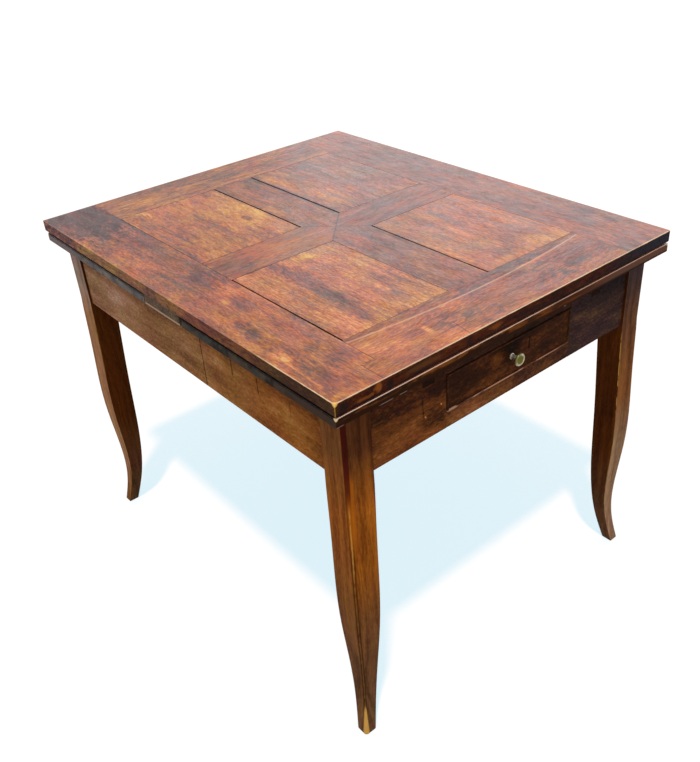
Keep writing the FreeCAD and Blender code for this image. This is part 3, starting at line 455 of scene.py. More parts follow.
# The top: a frame of stiles and rails, a mitred cross and four panels, each with the dirt in its seams.
# Spots: place and half sizes in millimetres, pull on the spread and on the lean. Lines: both ends and
# the width in millimetres, pull on the spread
TOP_BOARDS = {
    "top_stile_left": dict(
        grain="yxz", bias=0.56, contrast=0.88,
        seams=dict(stile_left=1.0),
        spots=[
            (-345, 10, 70, 90, -0.14), (-318, -20, 30, 60, -0.24, -0.15),
            (-400, 240, 12, 130, -0.14), (-402, -275, 9, 40, 0.16, 0.1),
            (-376, -470, 20, 18, -0.16), (-350, 440, 90, 150, -0.52, -0.15),
            (-335, 265, 65, 110, -0.28, -0.1), (-387, -340, 14, 24, 0.3),
            (-341, -354, 16, 14, -0.18), (-376, -420, 26, 40, -0.22), (-316, -403, 30, 30, -0.22),
            (-373, -244, 13, 22, -0.24), (-373, -208, 16, 22, -0.18, -0.1),
            (-326, -135, 22, 34, -0.2, -0.1), (-362, -262, 12, 22, 0.14),
            (-345, -121, 10, 14, 0.3, 0.2), (-392, -486, 14, 8, 0.2, 0.15),
        ],
        lines=[(-389, -345, -398, -450, 6, 0.24)],
    ),
    "top_stile_right": dict(
        grain="yxz", bias=0.33, contrast=0.7, lean=-0.1,
        seams=dict(stile_right=0.15),
        spots=[
            (319, -201, 24, 50, -0.1, -0.1), (382, -323, 18, 32, -0.18, -0.15),
            (382, -386, 16, 20, -0.15), (350, 330, 50, 140, -0.08),
        ],
        lines=[(342, -394, 411, -388, 1.6, -0.22), (343, -297, 388, -355, 1.8, 0.3)],
    ),
    "top_end_rail_near": dict(
        grain="xyz", bias=0.58, contrast=0.85, lean=-0.04,
        spots=[
            (20, -430, 170, 80, -0.25), (220, -430, 130, 80, -0.23, -0.1),
            (-90, -450, 20, 12, -0.18), (-152, -447, 28, 16, -0.22, 0.15),
            (-122, -415, 26, 18, -0.17), (-30, -408, 40, 20, -0.15, -0.12),
            (-198, -436, 26, 14, -0.2, -0.1), (-173, -443, 7, 18, 0.34),
            (-240, -440, 26, 14, 0.1), (185, -454, 24, 16, -0.14), (140, -474, 16, 10, -0.2),
        ],
        lines=[
            (-127, -450, -135, -497, 1.3, -0.4), (-311, -445, -298, -446, 1.4, -0.4),
            (-317, -446, -317, -498, 1.6, -0.3),
        ],
    ),
    "top_end_rail_far": dict(
        grain="xyz", bias=0.42, contrast=1.0, lean=0.06,
        seams=dict(rail_far=0.4),
        spots=[
            (-210, 432, 90, 30, 0.16, 0.1), (0, 382, 300, 6, 0.1),
            (-190, 384, 60, 10, 0.2, 0.1), (50, 445, 80, 50, 0.11), (235, 430, 80, 60, -0.16),
        ],
    ),
    "top_panel_near_left": dict(
        grain="yxz", bias=0.59, contrast=1.05,
        seams=dict(stile_left=1.1, muntin_left=0.5, mid_near=0.7),
        spots=[
            (-201, -75, 20, 36, -0.36, -0.15), (-199, -177, 22, 100, -0.25, -0.1),
            (-200, -270, 14, 56, -0.18), (-152, -158, 30, 60, -0.14, -0.05),
            (-212, -110, 18, 34, -0.12), (-268, -96, 14, 40, -0.12), (-212, -336, 8, 30, -0.2),
            (-138, -75, 30, 16, 0.26, 0.15), (-115, -115, 20, 40, 0.12),
            (-250, -300, 24, 60, 0.12, -0.1), (-123, -276, 10, 26, 0.22),
            (-147, -348, 14, 20, 0.16), (-77, -300, 10, 60, -0.28),
        ],
    ),
    "top_panel_far_left": dict(
        grain="yxz", bias=0.56, contrast=0.95,
        seams=dict(stile_left=0.5, muntin_left=1.4, rail_far=0.4, mid_far=0.4),
        spots=[
            (-95, 210, 50, 130, 0.12, 0.15), (-180, 200, 20, 60, -0.12), (-150, 346, 40, 30, -0.15),
            (-276, 274, 14, 60, -0.14), (-250, 110, 30, 50, 0.12), (-86, 58, 26, 18, 0.16),
            (-103, 172, 9, 20, -0.42),
        ],
    ),
    "top_panel_near_right": dict(
        grain="yxz", bias=0.52, contrast=0.95, lean=-0.02,
        seams=dict(stile_right=0.15, muntin_right=1.4, mid_near=0.6),
        spots=[
            (130, -330, 30, 24, -0.12), (180, -270, 30, 70, -0.14, -0.1),
            (188, -165, 40, 60, -0.16, -0.1), (140, -200, 8, 60, 0.16),
            (212, -341, 26, 22, 0.18, 0.12), (108, -353, 30, 12, 0.18, 0.1),
        ],
    ),
    "top_panel_far_right": dict(
        grain="yxz", bias=0.39, contrast=0.85,
        seams=dict(stile_right=0.15, muntin_right=2.8, rail_far=0.4, mid_far=0.4),
        spots=[
            (100, 130, 30, 60, 0.16, 0.15), (174, 342, 40, 26, -0.14, -0.1),
            (140, 260, 60, 80, -0.08), (62, 290, 12, 90, 0.2, 0.1), (206, 310, 40, 44, -0.12),
            (190, 186, 36, 40, -0.12), (244, 110, 30, 46, -0.11, -0.1),
        ],
    ),
    "top_muntin_near": dict(
        grain="yxz", bias=0.33, contrast=0.8, lean=-0.03,
        seams=dict(muntin_left=0.5, muntin_right=1.4),
        spots=[(6, -98, 6, 9, -0.4)],
    ),
    "top_muntin_far": dict(
        grain="yxz", bias=0.37, contrast=0.8,
        seams=dict(muntin_left=1.4, muntin_right=2.8, rail_far=0.4),
        spots=[
            (-10, 215, 18, 44, 0.16, 0.1), (-42, 148, 12, 50, 0.22, 0.15),
            (25, 326, 30, 40, -0.08, 0.1),
        ],
    ),
    "top_mid_rail_left": dict(
        grain="xyz", bias=0.48, contrast=0.65,
        seams=dict(mid_near=0.7, mid_far=0.4, stile_left=0.5),
        spots=[(-250, -4, 50, 60, -0.2), (-130, 0, 50, 50, 0.09), (-86, 40, 26, 12, 0.2)],
    ),
    "top_mid_rail_right": dict(
        grain="xyz", bias=0.32, contrast=0.6, lean=-0.1,
        seams=dict(mid_near=0.6, mid_far=0.4, stile_right=0.1),
    ),
}
MITRE_SLOPE = (MID_HIGH_Y - MID_LOW_Y) / (MUNTIN_HIGH_X - MUNTIN_LOW_X)
MITRE_WIDTH = (0.0022, 0.0004)
MITRE_SHADE = -0.3
# Seams, by the distance from the joint: ragged grime beside it, a rubbed arris and a dirty gap
SEAM_GRIME = (0.012, 0.002)
SEAM_GRIME_RAGGED = 0.016
SEAM_GRIME_SHADE = -0.08
SEAM_RUB = ((0.004, 0.0022), (0.0008, 0.0018))
SEAM_RUB_PATCHES = (0.45, 0.58)
SEAM_RUB_GAIN = 0.22
SEAM_GAP = 0.0006
SEAM_GAP_PER_DIRT = 0.0009
SEAM_GAP_CORE = 0.0005
SEAM_SHADE = -0.42
SEAM_DULL_PER_DIRT = 0.6
# A pale worn line bows along the near rail: its lowest place and how fast it rises to the ends
BOW_Y = -0.4
BOW_RISE = 0.245
BOW_WIDTH = (0.0026, 0.0008, 0.55)
BOW_RAGGED = 0.003
BOW_COLOUR = (0.66, 0.36, 0.22)
BOW_BEHIND = (0.0, 0.006)
BOW_BEHIND_SHADE = -0.17
# Upright edges, darker than the face. The long ones change from one y to another
LONG_EDGE_SHADE = (0.4, 0.47, 0.75)
LONG_EDGE_TINTS = (
    (-0.25, 0.12, (1.45, 1.95, 1.75)),
    (-0.24, -0.38, (0.3, 0.36, 0.42)),
    (0.3, 0.42, (1.4, 1.3, 1.25)),
)
SHORT_EDGE_SHADE = (0.14, 0.11, 0.13)
COLD_END = (0.018, 0.017, 0.025)
COLD_END_X = (0.18, 0.38)
COLD_END_Y = (0.0, -0.1)
# Near black: ink blots and stains on the edges, and the painted shadow at the foot of the short edges
EDGE_INK_AND_SHADOW = (0.01, 0.008, 0.008)
EDGE_ORANGE = (0.25, 0.068, 0.012)
EDGE_BROWN = (0.11, 0.044, 0.012)
BLOT_SCALE = (26.0, 90.0)
BLOTS = (0.5, 0.66, 0.6)
# A shadow at the foot of the short edges, by the height over the top's underside
EDGE_FOOT = (0.0045, 0.0015, 0.85)
# Worn and stained places on the near edge: x, height, half sizes in millimetres, colour, share
EDGE_PATCHES = (
    (-396, 768, 12, 12, EDGE_INK_AND_SHADOW, 0.8), (-352, 764, 26, 3, EDGE_ORANGE, 0.6),
    (-330, 770, 8, 9, EDGE_ORANGE, 0.9), (-306, 766, 8, 10, EDGE_INK_AND_SHADOW, 0.75),
    (-240, 769, 40, 6, EDGE_BROWN, 0.6), (-138, 768, 9, 12, EDGE_INK_AND_SHADOW, 0.7),
    (-78, 770, 16, 7, EDGE_ORANGE, 0.6), (60, 764, 60, 6, EDGE_INK_AND_SHADOW, 0.35),
)
PATCH_DEPTH = 0.01
# Bare arrises: their width, how ragged they are and how much shows
NEAR_ARRIS = (0.0017, 0.002)
NEAR_WEAR = (0.36, 0.56, 1.0, 0.7)
LEFT_ARRIS = (0.0015, 0.0024)
LEFT_WEAR = (0.36, 0.56, 1.0, 0.5)
LEFT_FADE = (-0.37, -0.28, 0.2, 1.0)
BACK_ARRIS = (0.0016, 0.0028, 0.25)
CORNER_ARRIS = (0.0015, 0.0016, 0.45)
GOLD_TIP = (0.0075, 0.0035)


def mitre_dirt(wood):
    """The thin dark lines where the four arms of the cross meet."""
    run = math.hypot(1.0, MITRE_SLOPE)
    u = wood.away(wood.x, CROSS_X)
    v = wood.away(wood.y, CROSS_Y)
    across = wood.total(wood.scaled(u, MITRE_SLOPE / run), wood.scaled(v, -1.0 / run))
    wood.shift(MITRE_SHADE, wood.smooth(wood.math("ABSOLUTE", across), *MITRE_WIDTH))


def seam_marks(wood, seams):
    """Dull dirt in a joint, a rubbed line on its arris and a little grime beside it."""
    for name, dirt in seams.items():
        axis, place = SEAMS[name]
        near = wood.away(wood.at[axis], place)
        grime = wood.smooth(wood.roughened(near, SEAM_GRIME_RAGGED), *SEAM_GRIME)
        wood.shift(SEAM_GRIME_SHADE * dirt, grime)
        patches = wood.smooth(wood.mottle, *SEAM_RUB_PATCHES)
        wood.shift(SEAM_RUB_GAIN, wood.band(near, *SEAM_RUB), patches)
        gap = wood.smooth(near, SEAM_GAP + SEAM_GAP_PER_DIRT * dirt, SEAM_GAP_CORE)
        wood.shift(SEAM_SHADE * dirt, gap)
        dull = wood.scaled(gap, min(1.0, SEAM_DULL_PER_DIRT * dirt))
        wood.dull = wood.math("MAXIMUM", wood.dull, dull)


def bowed_line(wood):
    """Darkens the strip behind the bowed line, and gives a mask of the line itself."""
    line = wood.scaled(wood.product(wood.x, wood.x), BOW_RISE, BOW_Y)
    behind = wood.math("SUBTRACT", wood.y, line)
    wood.shift(BOW_BEHIND_SHADE, wood.smooth(behind, *BOW_BEHIND))
    return wood.smooth(wood.roughened(wood.math("ABSOLUTE", behind), BOW_RAGGED), *BOW_WIDTH)


def edge_faces(wood):
    """Darker upright edges, blotted with ink along the short sides."""
    blots = wood.smooth(wood.noise(wood.grain_space(*BLOT_SCALE)), *BLOTS)
    cold = wood.product(wood.smooth(wood.x, *COLD_END_X), wood.smooth(wood.y, *COLD_END_Y))
    foot = wood.smooth(wood.above(TOP_LOW.z), *EDGE_FOOT)
    for sign in (1.0, -1.0):
        long_face = wood.faces("x", sign)
        wood.tint(LONG_EDGE_SHADE, long_face)
        for start, end, tint in LONG_EDGE_TINTS:
            wood.tint(tint, long_face, wood.smooth(wood.y, start, end))
        short_face = wood.faces("y", sign)
        wood.tint(SHORT_EDGE_SHADE, short_face)
        wood.cover(COLD_END, short_face, cold)
        wood.cover(EDGE_INK_AND_SHADOW, short_face, blots)
        # Painted shadow along the foot of the short edges, under the top
        wood.cover(EDGE_INK_AND_SHADOW, short_face, foot)


def edge_patches(wood):
    for x, height, half_x, half_z, colour, share in EDGE_PATCHES:
        centre = in_metres("xzy", x, height, TOP_LOW.y)
        mask = wood.about(centre, in_metres("xzy", half_x, half_z, PATCH_DEPTH))
        wood.cover(colour, mask, wood.faces("y", -1.0), share)


def bare_arrises(wood):
    """Bare cream along the near and left sides, a little at the back, and a golden corner."""
    near = wood.arris(*NEAR_ARRIS, y=TOP_LOW.y, z=TOP_Z)
    wood.cover(BARE_CREAM, near, wood.smooth(wood.mottle, *NEAR_WEAR))
    left = wood.arris(*LEFT_ARRIS, x=TOP_LOW.x, z=TOP_Z)
    worn = wood.smooth(wood.mottle, *LEFT_WEAR)
    wood.cover(BARE_CREAM, left, worn, wood.smooth(wood.y, *LEFT_FADE))
    for axis, place in (("x", TOP_HIGH.x), ("y", TOP_HIGH.y)):
        wood.cover(BARE_CREAM, wood.arris(*BACK_ARRIS, z=TOP_Z, **{axis: place}))
    wood.cover(BARE_OCHRE, wood.arris(*CORNER_ARRIS, x=TOP_LOW.x, y=TOP_LOW.y))
    corner = wood.vector("DISTANCE", wood.point, (TOP_LOW.x, TOP_LOW.y, TOP_Z))
    wood.cover(BARE_GOLD, wood.smooth(corner, *GOLD_TIP))


def top_wood(node, seed, board):
    wood = Wood(node, board["grain"], seed, board["bias"], TOP_GRAIN, board["contrast"])
    wood.lean = wood.total(wood.lean, board.get("lean", 0.0))
    wood.spots(TOP_PLANE, board.get("spots", ()))
    wood.lines(TOP_PLANE, board.get("lines", ()))
    seam_marks(wood, board.get("seams", {}))
    if "muntin" in node or "mid_rail" in node:
        mitre_dirt(wood)
    pale_line = bowed_line(wood) if node == "top_end_rail_near" else None
    wood.paint(TOP_RAMP)
    if pale_line:
        wood.cover(BOW_COLOUR, pale_line)
    edge_faces(wood)
    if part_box(node)[0].y < TOP_LOW.y + PATCH_DEPTH:
        edge_patches(wood)
    bare_arrises(wood)
    return wood.done(ROUGHNESS["top"], wood.patchy_sheen())


def dress_top():
    for seed, (node, board) in enumerate(TOP_BOARDS.items(), 1):
        dress(node, top_wood(node, seed, board), EASE["top"])


# Aprons, drawer and the fixed centre board: grain, ramp place and a tint
SIDE_CONTRAST = 0.9
APRON_SEED = 40
APRONS = {
    "left_apron_near": ("yzx", 0.655, (1.0, 1.0, 1.1)),
    "left_apron_far": ("yzx", 0.655, (1.0, 1.0, 1.1)),
    "right_apron": ("yzx", 0.62, (1.0, 1.1, 1.5)),
    "far_apron": ("xzy", 0.6, (1.0, 1.1, 1.5)),
    "drawer_apron_left": ("xzy", 0.45, (1.0, 0.88, 0.95)),
    # The right drawer apron's strong blue tint is a painted reflection of the pale room on its dark
    # stain
    "drawer_apron_right": ("xzy", 0.225, (0.96, 1.3, 3.0)),
    "drawer_rail_lower": ("xzy", 0.4, (1.0, 1.0, 1.4)),
    # The upper rail's near-black place on the ramp is painted shadow above the drawer
    "drawer_rail_upper": ("xzy", 0.14, (1.0, 1.1, 1.6)),
    "drawer_front": ("xzy", 0.19, (1.0, 0.86, 0.85)),
    # The beads' dark place on the ramp is their stain and painted shadow; the lower bead gets its pale
    # line below
    "drawer_cock_beads": ("xzy", 0.17, (1.0, 1.0, 1.2)),
    "centre_board": ("xyz", 0.42, (0.9, 1.7, 4.6)),
}
# Lines and spots, along the board and upwards, as on the top
SIDE_LINES = {
    "left_apron_near": (
        (-163, 696, -163, 666, 2.4, -0.35),
        (-241, 692, -241, 663, 2.4, -0.35),
        (-333, 690, -333, 660, 2.0, -0.18),
    ),
    "drawer_apron_left": (
        (-215, 680, -213, 642, 2.6, -0.14),
        (-209, 643, -208, 641, 2.0, 0.5),
        (-173, 652, -172, 650, 2.0, 0.45),
    ),
    "drawer_front": ((47, 688, 46, 665, 3.0, -0.3),),
}
SIDE_SPOTS = {
    "drawer_front": (
        (-60, 643, 70, 10, 0.18), (-75, 676, 50, 16, -0.1), (40, 670, 30, 22, 0.08),
        (100, 682, 40, 14, 0.09), (-38, 676, 20, 16, 0.16, 0.2), (4, 684, 24, 14, -0.12),
        (-20, 696, 45, 14, -0.14), (-130, 690, 40, 20, -0.03),
    ),
    "drawer_apron_left": ((-178, 690, 26, 30, -0.16), (-195, 634, 34, 22, -0.24)),
    "drawer_rail_lower": ((-125, 610, 55, 30, 0.13), (110, 612, 110, 40, -0.14)),
    "left_apron_near": ((-130, 640, 60, 18, -0.1), (-330, 650, 80, 30, 0.06)),
    "left_apron_far": ((-10, 630, 60, 14, -0.12),),
}
# Shade under the leaf on the drawer end: how strong it is, and the height where it starts
SHADE_UNDER_LEAF = {"drawer_apron_left": (-0.22, 0.645), "drawer_apron_right": (-0.15, 0.67)}
SHADE_FULL_Z = 0.698
# Painted shade under the leaf and by the near leg, and a darker foot, on the left apron: the axis, from
# where to where they grow, and how strong they are
LEFT_SHADES = (("z", 0.674, 0.706, -0.16), ("z", 0.635, 0.605, -0.05), ("y", -0.35, -0.41, -0.12))
LEFT_BAND = ((0.635, 0.655), (0.69, 0.67))
LEFT_BAND_GAIN = 0.04
# How the left apron's colour changes along it: from one y to another, and the change
LEFT_TINTS = (
    (-0.18, -0.27, (0.97, 0.84, 0.6)),
    (-0.18, 0.06, (1.03, 1.24, 1.9)),
    (0.1, 0.4, (1.04, 1.12, 1.45)),
)
APRON_SEAM = (0.0022, 0.0008)
APRON_SEAM_SHADE = -0.4
# The lower bead's painted highlight on rubbed wood: a broken line by its height over its foot, and a
# blob at its left end
BEAD_RUB_AND_HIGHLIGHT = (0.46, 0.22, 0.135)
BEAD_HIGHLIGHT_BLOB = (0.34, 0.19, 0.12)
BEAD_LINE_RISE = 0.0028
BEAD_LINE = (0.0016, 0.0008)
BEAD_RUB_SCALE = (20.0, 60.0)
BEAD_RUB = (0.44, 0.58, 0.92, 0.12)
BEAD_FADE = (0.05, 0.15, 0.55, 1.0)
BEAD_LOWER = (0.006, 0.004)
BLOB_INSET = 0.012
BLOB_REACH = (0.012, 0.006)
# The end of the centre board is rubbed along its foot
BOARD_CREAM = (0.4, 0.29, 0.2)
BOARD_RUB = (0.005, 0.003, 0.8)


def apron_wood(node, seed):
    grain, bias, board_tint = APRONS[node]
    wood = Wood(node, grain, seed, bias, SIDE_GRAIN, SIDE_CONTRAST)
    left = node.startswith("left_apron")
    plane = LEFT_PLANE if left else END_PLANE
    wood.lines(plane, SIDE_LINES.get(node, ()))
    wood.spots(plane, SIDE_SPOTS.get(node, ()))
    if left:
        left_apron_shades(wood)
    if node in SHADE_UNDER_LEAF:
        amount, start_z = SHADE_UNDER_LEAF[node]
        wood.shift(amount, wood.smooth(wood.z, start_z, SHADE_FULL_Z))
    wood.paint(SIDE_RAMP, board_tint)
    if left:
        for start, end, tint in LEFT_TINTS:
            wood.tint(tint, wood.smooth(wood.y, start, end))
    if node == "drawer_cock_beads":
        light_bead(wood)
    if node == "centre_board":
        foot = wood.smooth(wood.above(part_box(node)[0].z), *BOARD_RUB)
        wood.cover(BOARD_CREAM, wood.faces("x", -1.0), foot)
    return wood.done(ROUGHNESS["side"], SIDE_SHEEN)


def left_apron_shades(wood):
    """Painted shade under the leaf and by the near leg, darker at the foot and seam, lighter in the
    middle.
    """
    for axis, start, end, amount in LEFT_SHADES:
        wood.shift(amount, wood.smooth(wood.at[axis], start, end))
    wood.shift(LEFT_BAND_GAIN, wood.band(wood.z, *LEFT_BAND))
    wood.shift(APRON_SEAM_SHADE, wood.smooth(wood.away(wood.y, APRON_SEAM_Y), *APRON_SEAM))


def light_bead(wood):
    """The lower bead is rubbed pale and carries a painted highlight, most at its left end."""
    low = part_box("drawer_cock_beads")[0]
    line = wood.smooth(wood.away(wood.z, low.z + BEAD_LINE_RISE), *BEAD_LINE)
    rubbed = wood.smooth(wood.noise(wood.grain_space(*BEAD_RUB_SCALE)), *BEAD_RUB)
    wood.cover(BEAD_RUB_AND_HIGHLIGHT, line, rubbed, wood.smooth(wood.x, *BEAD_FADE))
    lower = wood.smooth(wood.above(low.z), *BEAD_LOWER)
    end = wood.smooth(wood.away(wood.x, low.x + BLOB_INSET), *BLOB_REACH)
    wood.cover(BEAD_HIGHLIGHT_BLOB, lower, end)


def dress_aprons():
    for seed, node in enumerate(APRONS, APRON_SEED):
        dress(node, apron_wood(node, seed), EASE["apron"])


# Leaves: varnished like the top above, dusty along their long sides, dark along the short ones
LEAF_PARTS = ("inner_board", "outer_board")
LEAF_SEEDS = {"near": 20, "far": 30}
LEAF_BIAS = 0.44
LEAF_CONTRAST = 0.9
# Dust, brown and cold; grime between its patches, also the painted shade along the long sides under the
# top; the colour beside the outer corners
LEAF_DUST = {"near": ((0.062, 0.043, 0.028), (0.04, 0.038, 0.034)),
             "far": ((0.18, 0.14, 0.115), (0.105, 0.105, 0.11))}
LEAF_GRIME_AND_SHADE = {"near": (0.01, 0.008, 0.007), "far": (0.06, 0.055, 0.052)}
LEAF_CORNER = {"near": (0.045, 0.026, 0.018), "far": (0.15, 0.112, 0.112)}
DUST_LEAN = (0.4, 0.6)
DUST_PATCHES = (0.34, 0.6)
# Width of a strip along the leaf's long sides under the top's edge: painted shade on the near leaf,
# dust-grey on the far one
SHADE_AND_GRIME_STRIP = (0.012, 0.008)
CORNER_REACH = (0.19, 0.07)
# Painted shadow of the gap under the top: a broken dark line on the long sides, by its height from the
# leaf's face
GAP_SHADOW = (0.006, 0.005, 0.005)
GAP_HEIGHT = (-0.0045, -0.0025)
GAP_BREAKS = (0.36, 0.5, 0.8)
# The short side: patches of orange-brown over a stain, and mauve at its right end
SHORT_STAIN = (0.065, 0.024, 0.008)
SHORT_STAIN_X = (-0.05, 0.15)
SHORT_WORN = (0.16, 0.046, 0.006)
SHORT_SCALE = (16.0, 70.0)
SHORT_PATCHES = (0.44, 0.6)
SHORT_SHADE = (0.8, 0.62, 0.55)
SHORT_SHADE_X = (-0.05, 0.12)
SHORT_MAUVE = (0.106, 0.045, 0.028)
SHORT_MAUVE_X = (0.12, 0.28)
# Its grime: how high it reaches over the leaf's underside, and how much lower to the right
SHORT_GRIME = (0.025, 0.008, 0.003)
GRIME_RISE = (0.006, 0.01)
GRIME_DROP = (-0.15, 0.1, 0.0045)
UPPER_ARRIS = (0.0017, 0.0012)
UPPER_WEAR = (0.34, 0.5, 0.95, 0.6)
UPPER_FADE = (-0.1, 0.2, 0.6, 1.0)
LEAF_TIP = (0.006, 0.003)
# Pale dashes along the lower arris: x and half length in millimetres
LOWER_ARRIS = (0.0016, 0.0016, 0.8)
DASH_COLOUR = (0.26, 0.19, 0.16)
DASHES = ((-404, 9), (-315, 17), (-281, 10), (102, 4))


def leaf_short_edge(wood, low_z):
    """Grimy below and worn to patches of orange-brown above, which reach lower to the right."""
    patches = wood.noise(wood.grain_space(*SHORT_SCALE), roughness=0.65)
    stain = wood.mix(wood.smooth(wood.x, *SHORT_STAIN_X), SHORT_GRIME, SHORT_STAIN)
    worn = wood.mix(wood.smooth(patches, *SHORT_PATCHES), stain, SHORT_WORN)
    worn = wood.mix(wood.smooth(wood.x, *SHORT_SHADE_X), worn, SHORT_SHADE, "MULTIPLY")
    worn = wood.mix(wood.smooth(wood.x, *SHORT_MAUVE_X), worn, SHORT_MAUVE)
    height = wood.total(wood.above(low_z), wood.smooth(wood.x, *GRIME_DROP))
    return wood.mix(wood.smooth(height, *GRIME_RISE), SHORT_GRIME, worn)


def leaf_arrises(wood, low, high, end_y):
    """Pink along the upper arris of the short side, dashes along the lower one, bare corners."""
    upper = wood.arris(*UPPER_ARRIS, y=end_y, z=high.z)
    worn = wood.smooth(wood.mottle, *UPPER_WEAR)
    wood.cover(BARE_PINK, upper, worn, wood.smooth(wood.x, *UPPER_FADE))
    lower = wood.arris(*LOWER_ARRIS, y=end_y, z=low.z)
    for middle, half in DASHES:
        dash = wood.smooth(wood.away(wood.x, middle / 1000), half / 1000, half / 2000)
        wood.cover(DASH_COLOUR, lower, dash)
    for corner_x in (low.x, high.x):
        corner = wood.vector("DISTANCE", wood.point, (corner_x, end_y, high.z))
        wood.cover(BARE_CREAM, wood.smooth(corner, *LEAF_TIP))


def leaf_wood(node, side, seed):
    boxes = [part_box(f"{side}_leaf_{part}") for part in LEAF_PARTS]
    low = Vector(map(min, *(box[0] for box in boxes)))
    high = Vector(map(max, *(box[1] for box in boxes)))
    end_y = low.y if side == "near" else high.y
    wood = Wood(node, "xyz", seed, LEAF_BIAS, TOP_GRAIN, LEAF_CONTRAST)
    wood.paint(TOP_RAMP)
    # Painted shade on the near leaf, dust on the far one: a dark strip along the long sides of the
    # face, under the top's edge
    inboard = wood.fold("MINIMUM", wood.away(wood.x, low.x), wood.away(wood.x, high.x))
    wood.cover(LEAF_GRIME_AND_SHADE[side], wood.smooth(inboard, *SHADE_AND_GRIME_STRIP))
    brown, cold = LEAF_DUST[side]
    dust = wood.mix(wood.smooth(wood.lean, *DUST_LEAN), cold, brown)
    dusty = wood.mix(wood.smooth(wood.mottle, *DUST_PATCHES), LEAF_GRIME_AND_SHADE[side], dust)
    beside_corner = wood.smooth(wood.away(wood.y, end_y), *CORNER_REACH)
    gap = wood.smooth(wood.above(high.z), *GAP_HEIGHT)
    breaks = wood.smooth(wood.ragged, *GAP_BREAKS)
    short_edge = leaf_short_edge(wood, low.z)
    for sign in (1.0, -1.0):
        long_face = wood.faces("x", sign)
        wood.cover(dusty, long_face)
        wood.cover(LEAF_CORNER[side], long_face, beside_corner)
        # Painted shadow below the top's edge
        wood.cover(GAP_SHADOW, long_face, gap, breaks)
        wood.cover(short_edge, wood.faces("y", sign))
    leaf_arrises(wood, low, high, end_y)
    return wood.done(ROUGHNESS["leaf"], wood.patchy_sheen())


def dress_leaves():
    for side, first_seed in LEAF_SEEDS.items():
        for seed, part in enumerate(LEAF_PARTS, first_seed):
            node = f"{side}_leaf_{part}"
            dress(node, leaf_wood(node, side, seed), EASE["leaf"])


# Legs: each outer face runs through a few finishes by height, inner faces are dark with stain and
# painted shade
SMOKED = (0.11, 0.048, 0.02)
WAXED = (0.165, 0.06, 0.015)
HONEY = (0.27, 0.08, 0.01)
AMBER = (0.315, 0.092, 0.008)
STAINED = (0.09, 0.028, 0.008)
PALE = (0.26, 0.118, 0.048)
DUSTY = (0.24, 0.13, 0.07)
GREYED = (0.285, 0.182, 0.142)
SOOTY = (0.04, 0.03, 0.031)
COLD_STAIN = (0.09, 0.036, 0.02)
DARK = (0.056, 0.014, 0.002)
DARK_FOOT = (0.08, 0.034, 0.014)
LEG_RUNS = {
    ("leg_near_left", "x"): ((0.0, SMOKED), (0.3, WAXED), (0.52, HONEY), (0.66, WAXED)),
    ("leg_near_left", "y"): (
        (0.08, SMOKED), (0.3, WAXED), (0.42, AMBER), (0.54, AMBER), (0.65, STAINED),
    ),
    ("leg_far_left", "x"): ((0.02, WAXED), (0.14, PALE), (0.56, PALE), (0.64, GREYED)),
    ("leg_near_right", "y"): (
        (0.0, DUSTY), (0.3, DUSTY), (0.42, WAXED), (0.5, WAXED), (0.63, COLD_STAIN), (0.73, SOOTY),
    ),
}
OUTER_RUN = ((0.05, SMOKED), (0.3, WAXED), (0.7, WAXED))
INNER_RUN = ((0.04, DARK_FOOT), (0.28, DARK), (0.7, DARK))
LEG_SEED = 60
LEG_BIAS = 0.5
LEG_CONTRAST = 2.2
GRAIN_DARK = (0.46, 0.38, 0.32)
GRAIN_LIGHT = (1.54, 1.62, 1.68)
# Rims, where a face turns into the next: shaded, and rubbed bare below the head
RIM_TURN = (0.2, 0.45)
RIM_SHADE = (0.45, 0.38, 0.34)
RUB_PATCHES = (0.36, 0.52)
RUB_STRENGTH = {"leg_near_right": 0.6, "leg_near_left": 0.0}
RUB_ELSEWHERE = 0.2
RUB_MOST_Z = 0.49
RUB_REACH = (0.12, 0.06, 1.0, 0.25)
BELOW_HEAD = (0.6, 0.56)
# The front arris, by the distance beside it and by height: an amber glow, a dark red strip, a thin
# bare line and a bare tip that narrows upwards
FRONT_TURN = (0.2, 0.4)
GLOW = (0.4, 0.105, 0.006)
GLOW_BESIDE = (0.011, 0.007, 0.65)
GLOW_Z = ((0.44, 0.5), (0.63, 0.59))
STRIP_BESIDE = (0.0048, 0.0034, 0.85)
STRIP_Z = (0.54, 0.59)
THIN_BESIDE = (0.0014, 0.0005)
THIN_RAGGED = 0.004
THIN_Z = (0.57, 0.53)
THIN_FADE = (0.36, 0.46, 0.5, 0.15)
TIP_BESIDE = (0.007, 0.005)
TIP_TAPER = 0.07
TIP_Z = (0.07, 0.05, 0.85)


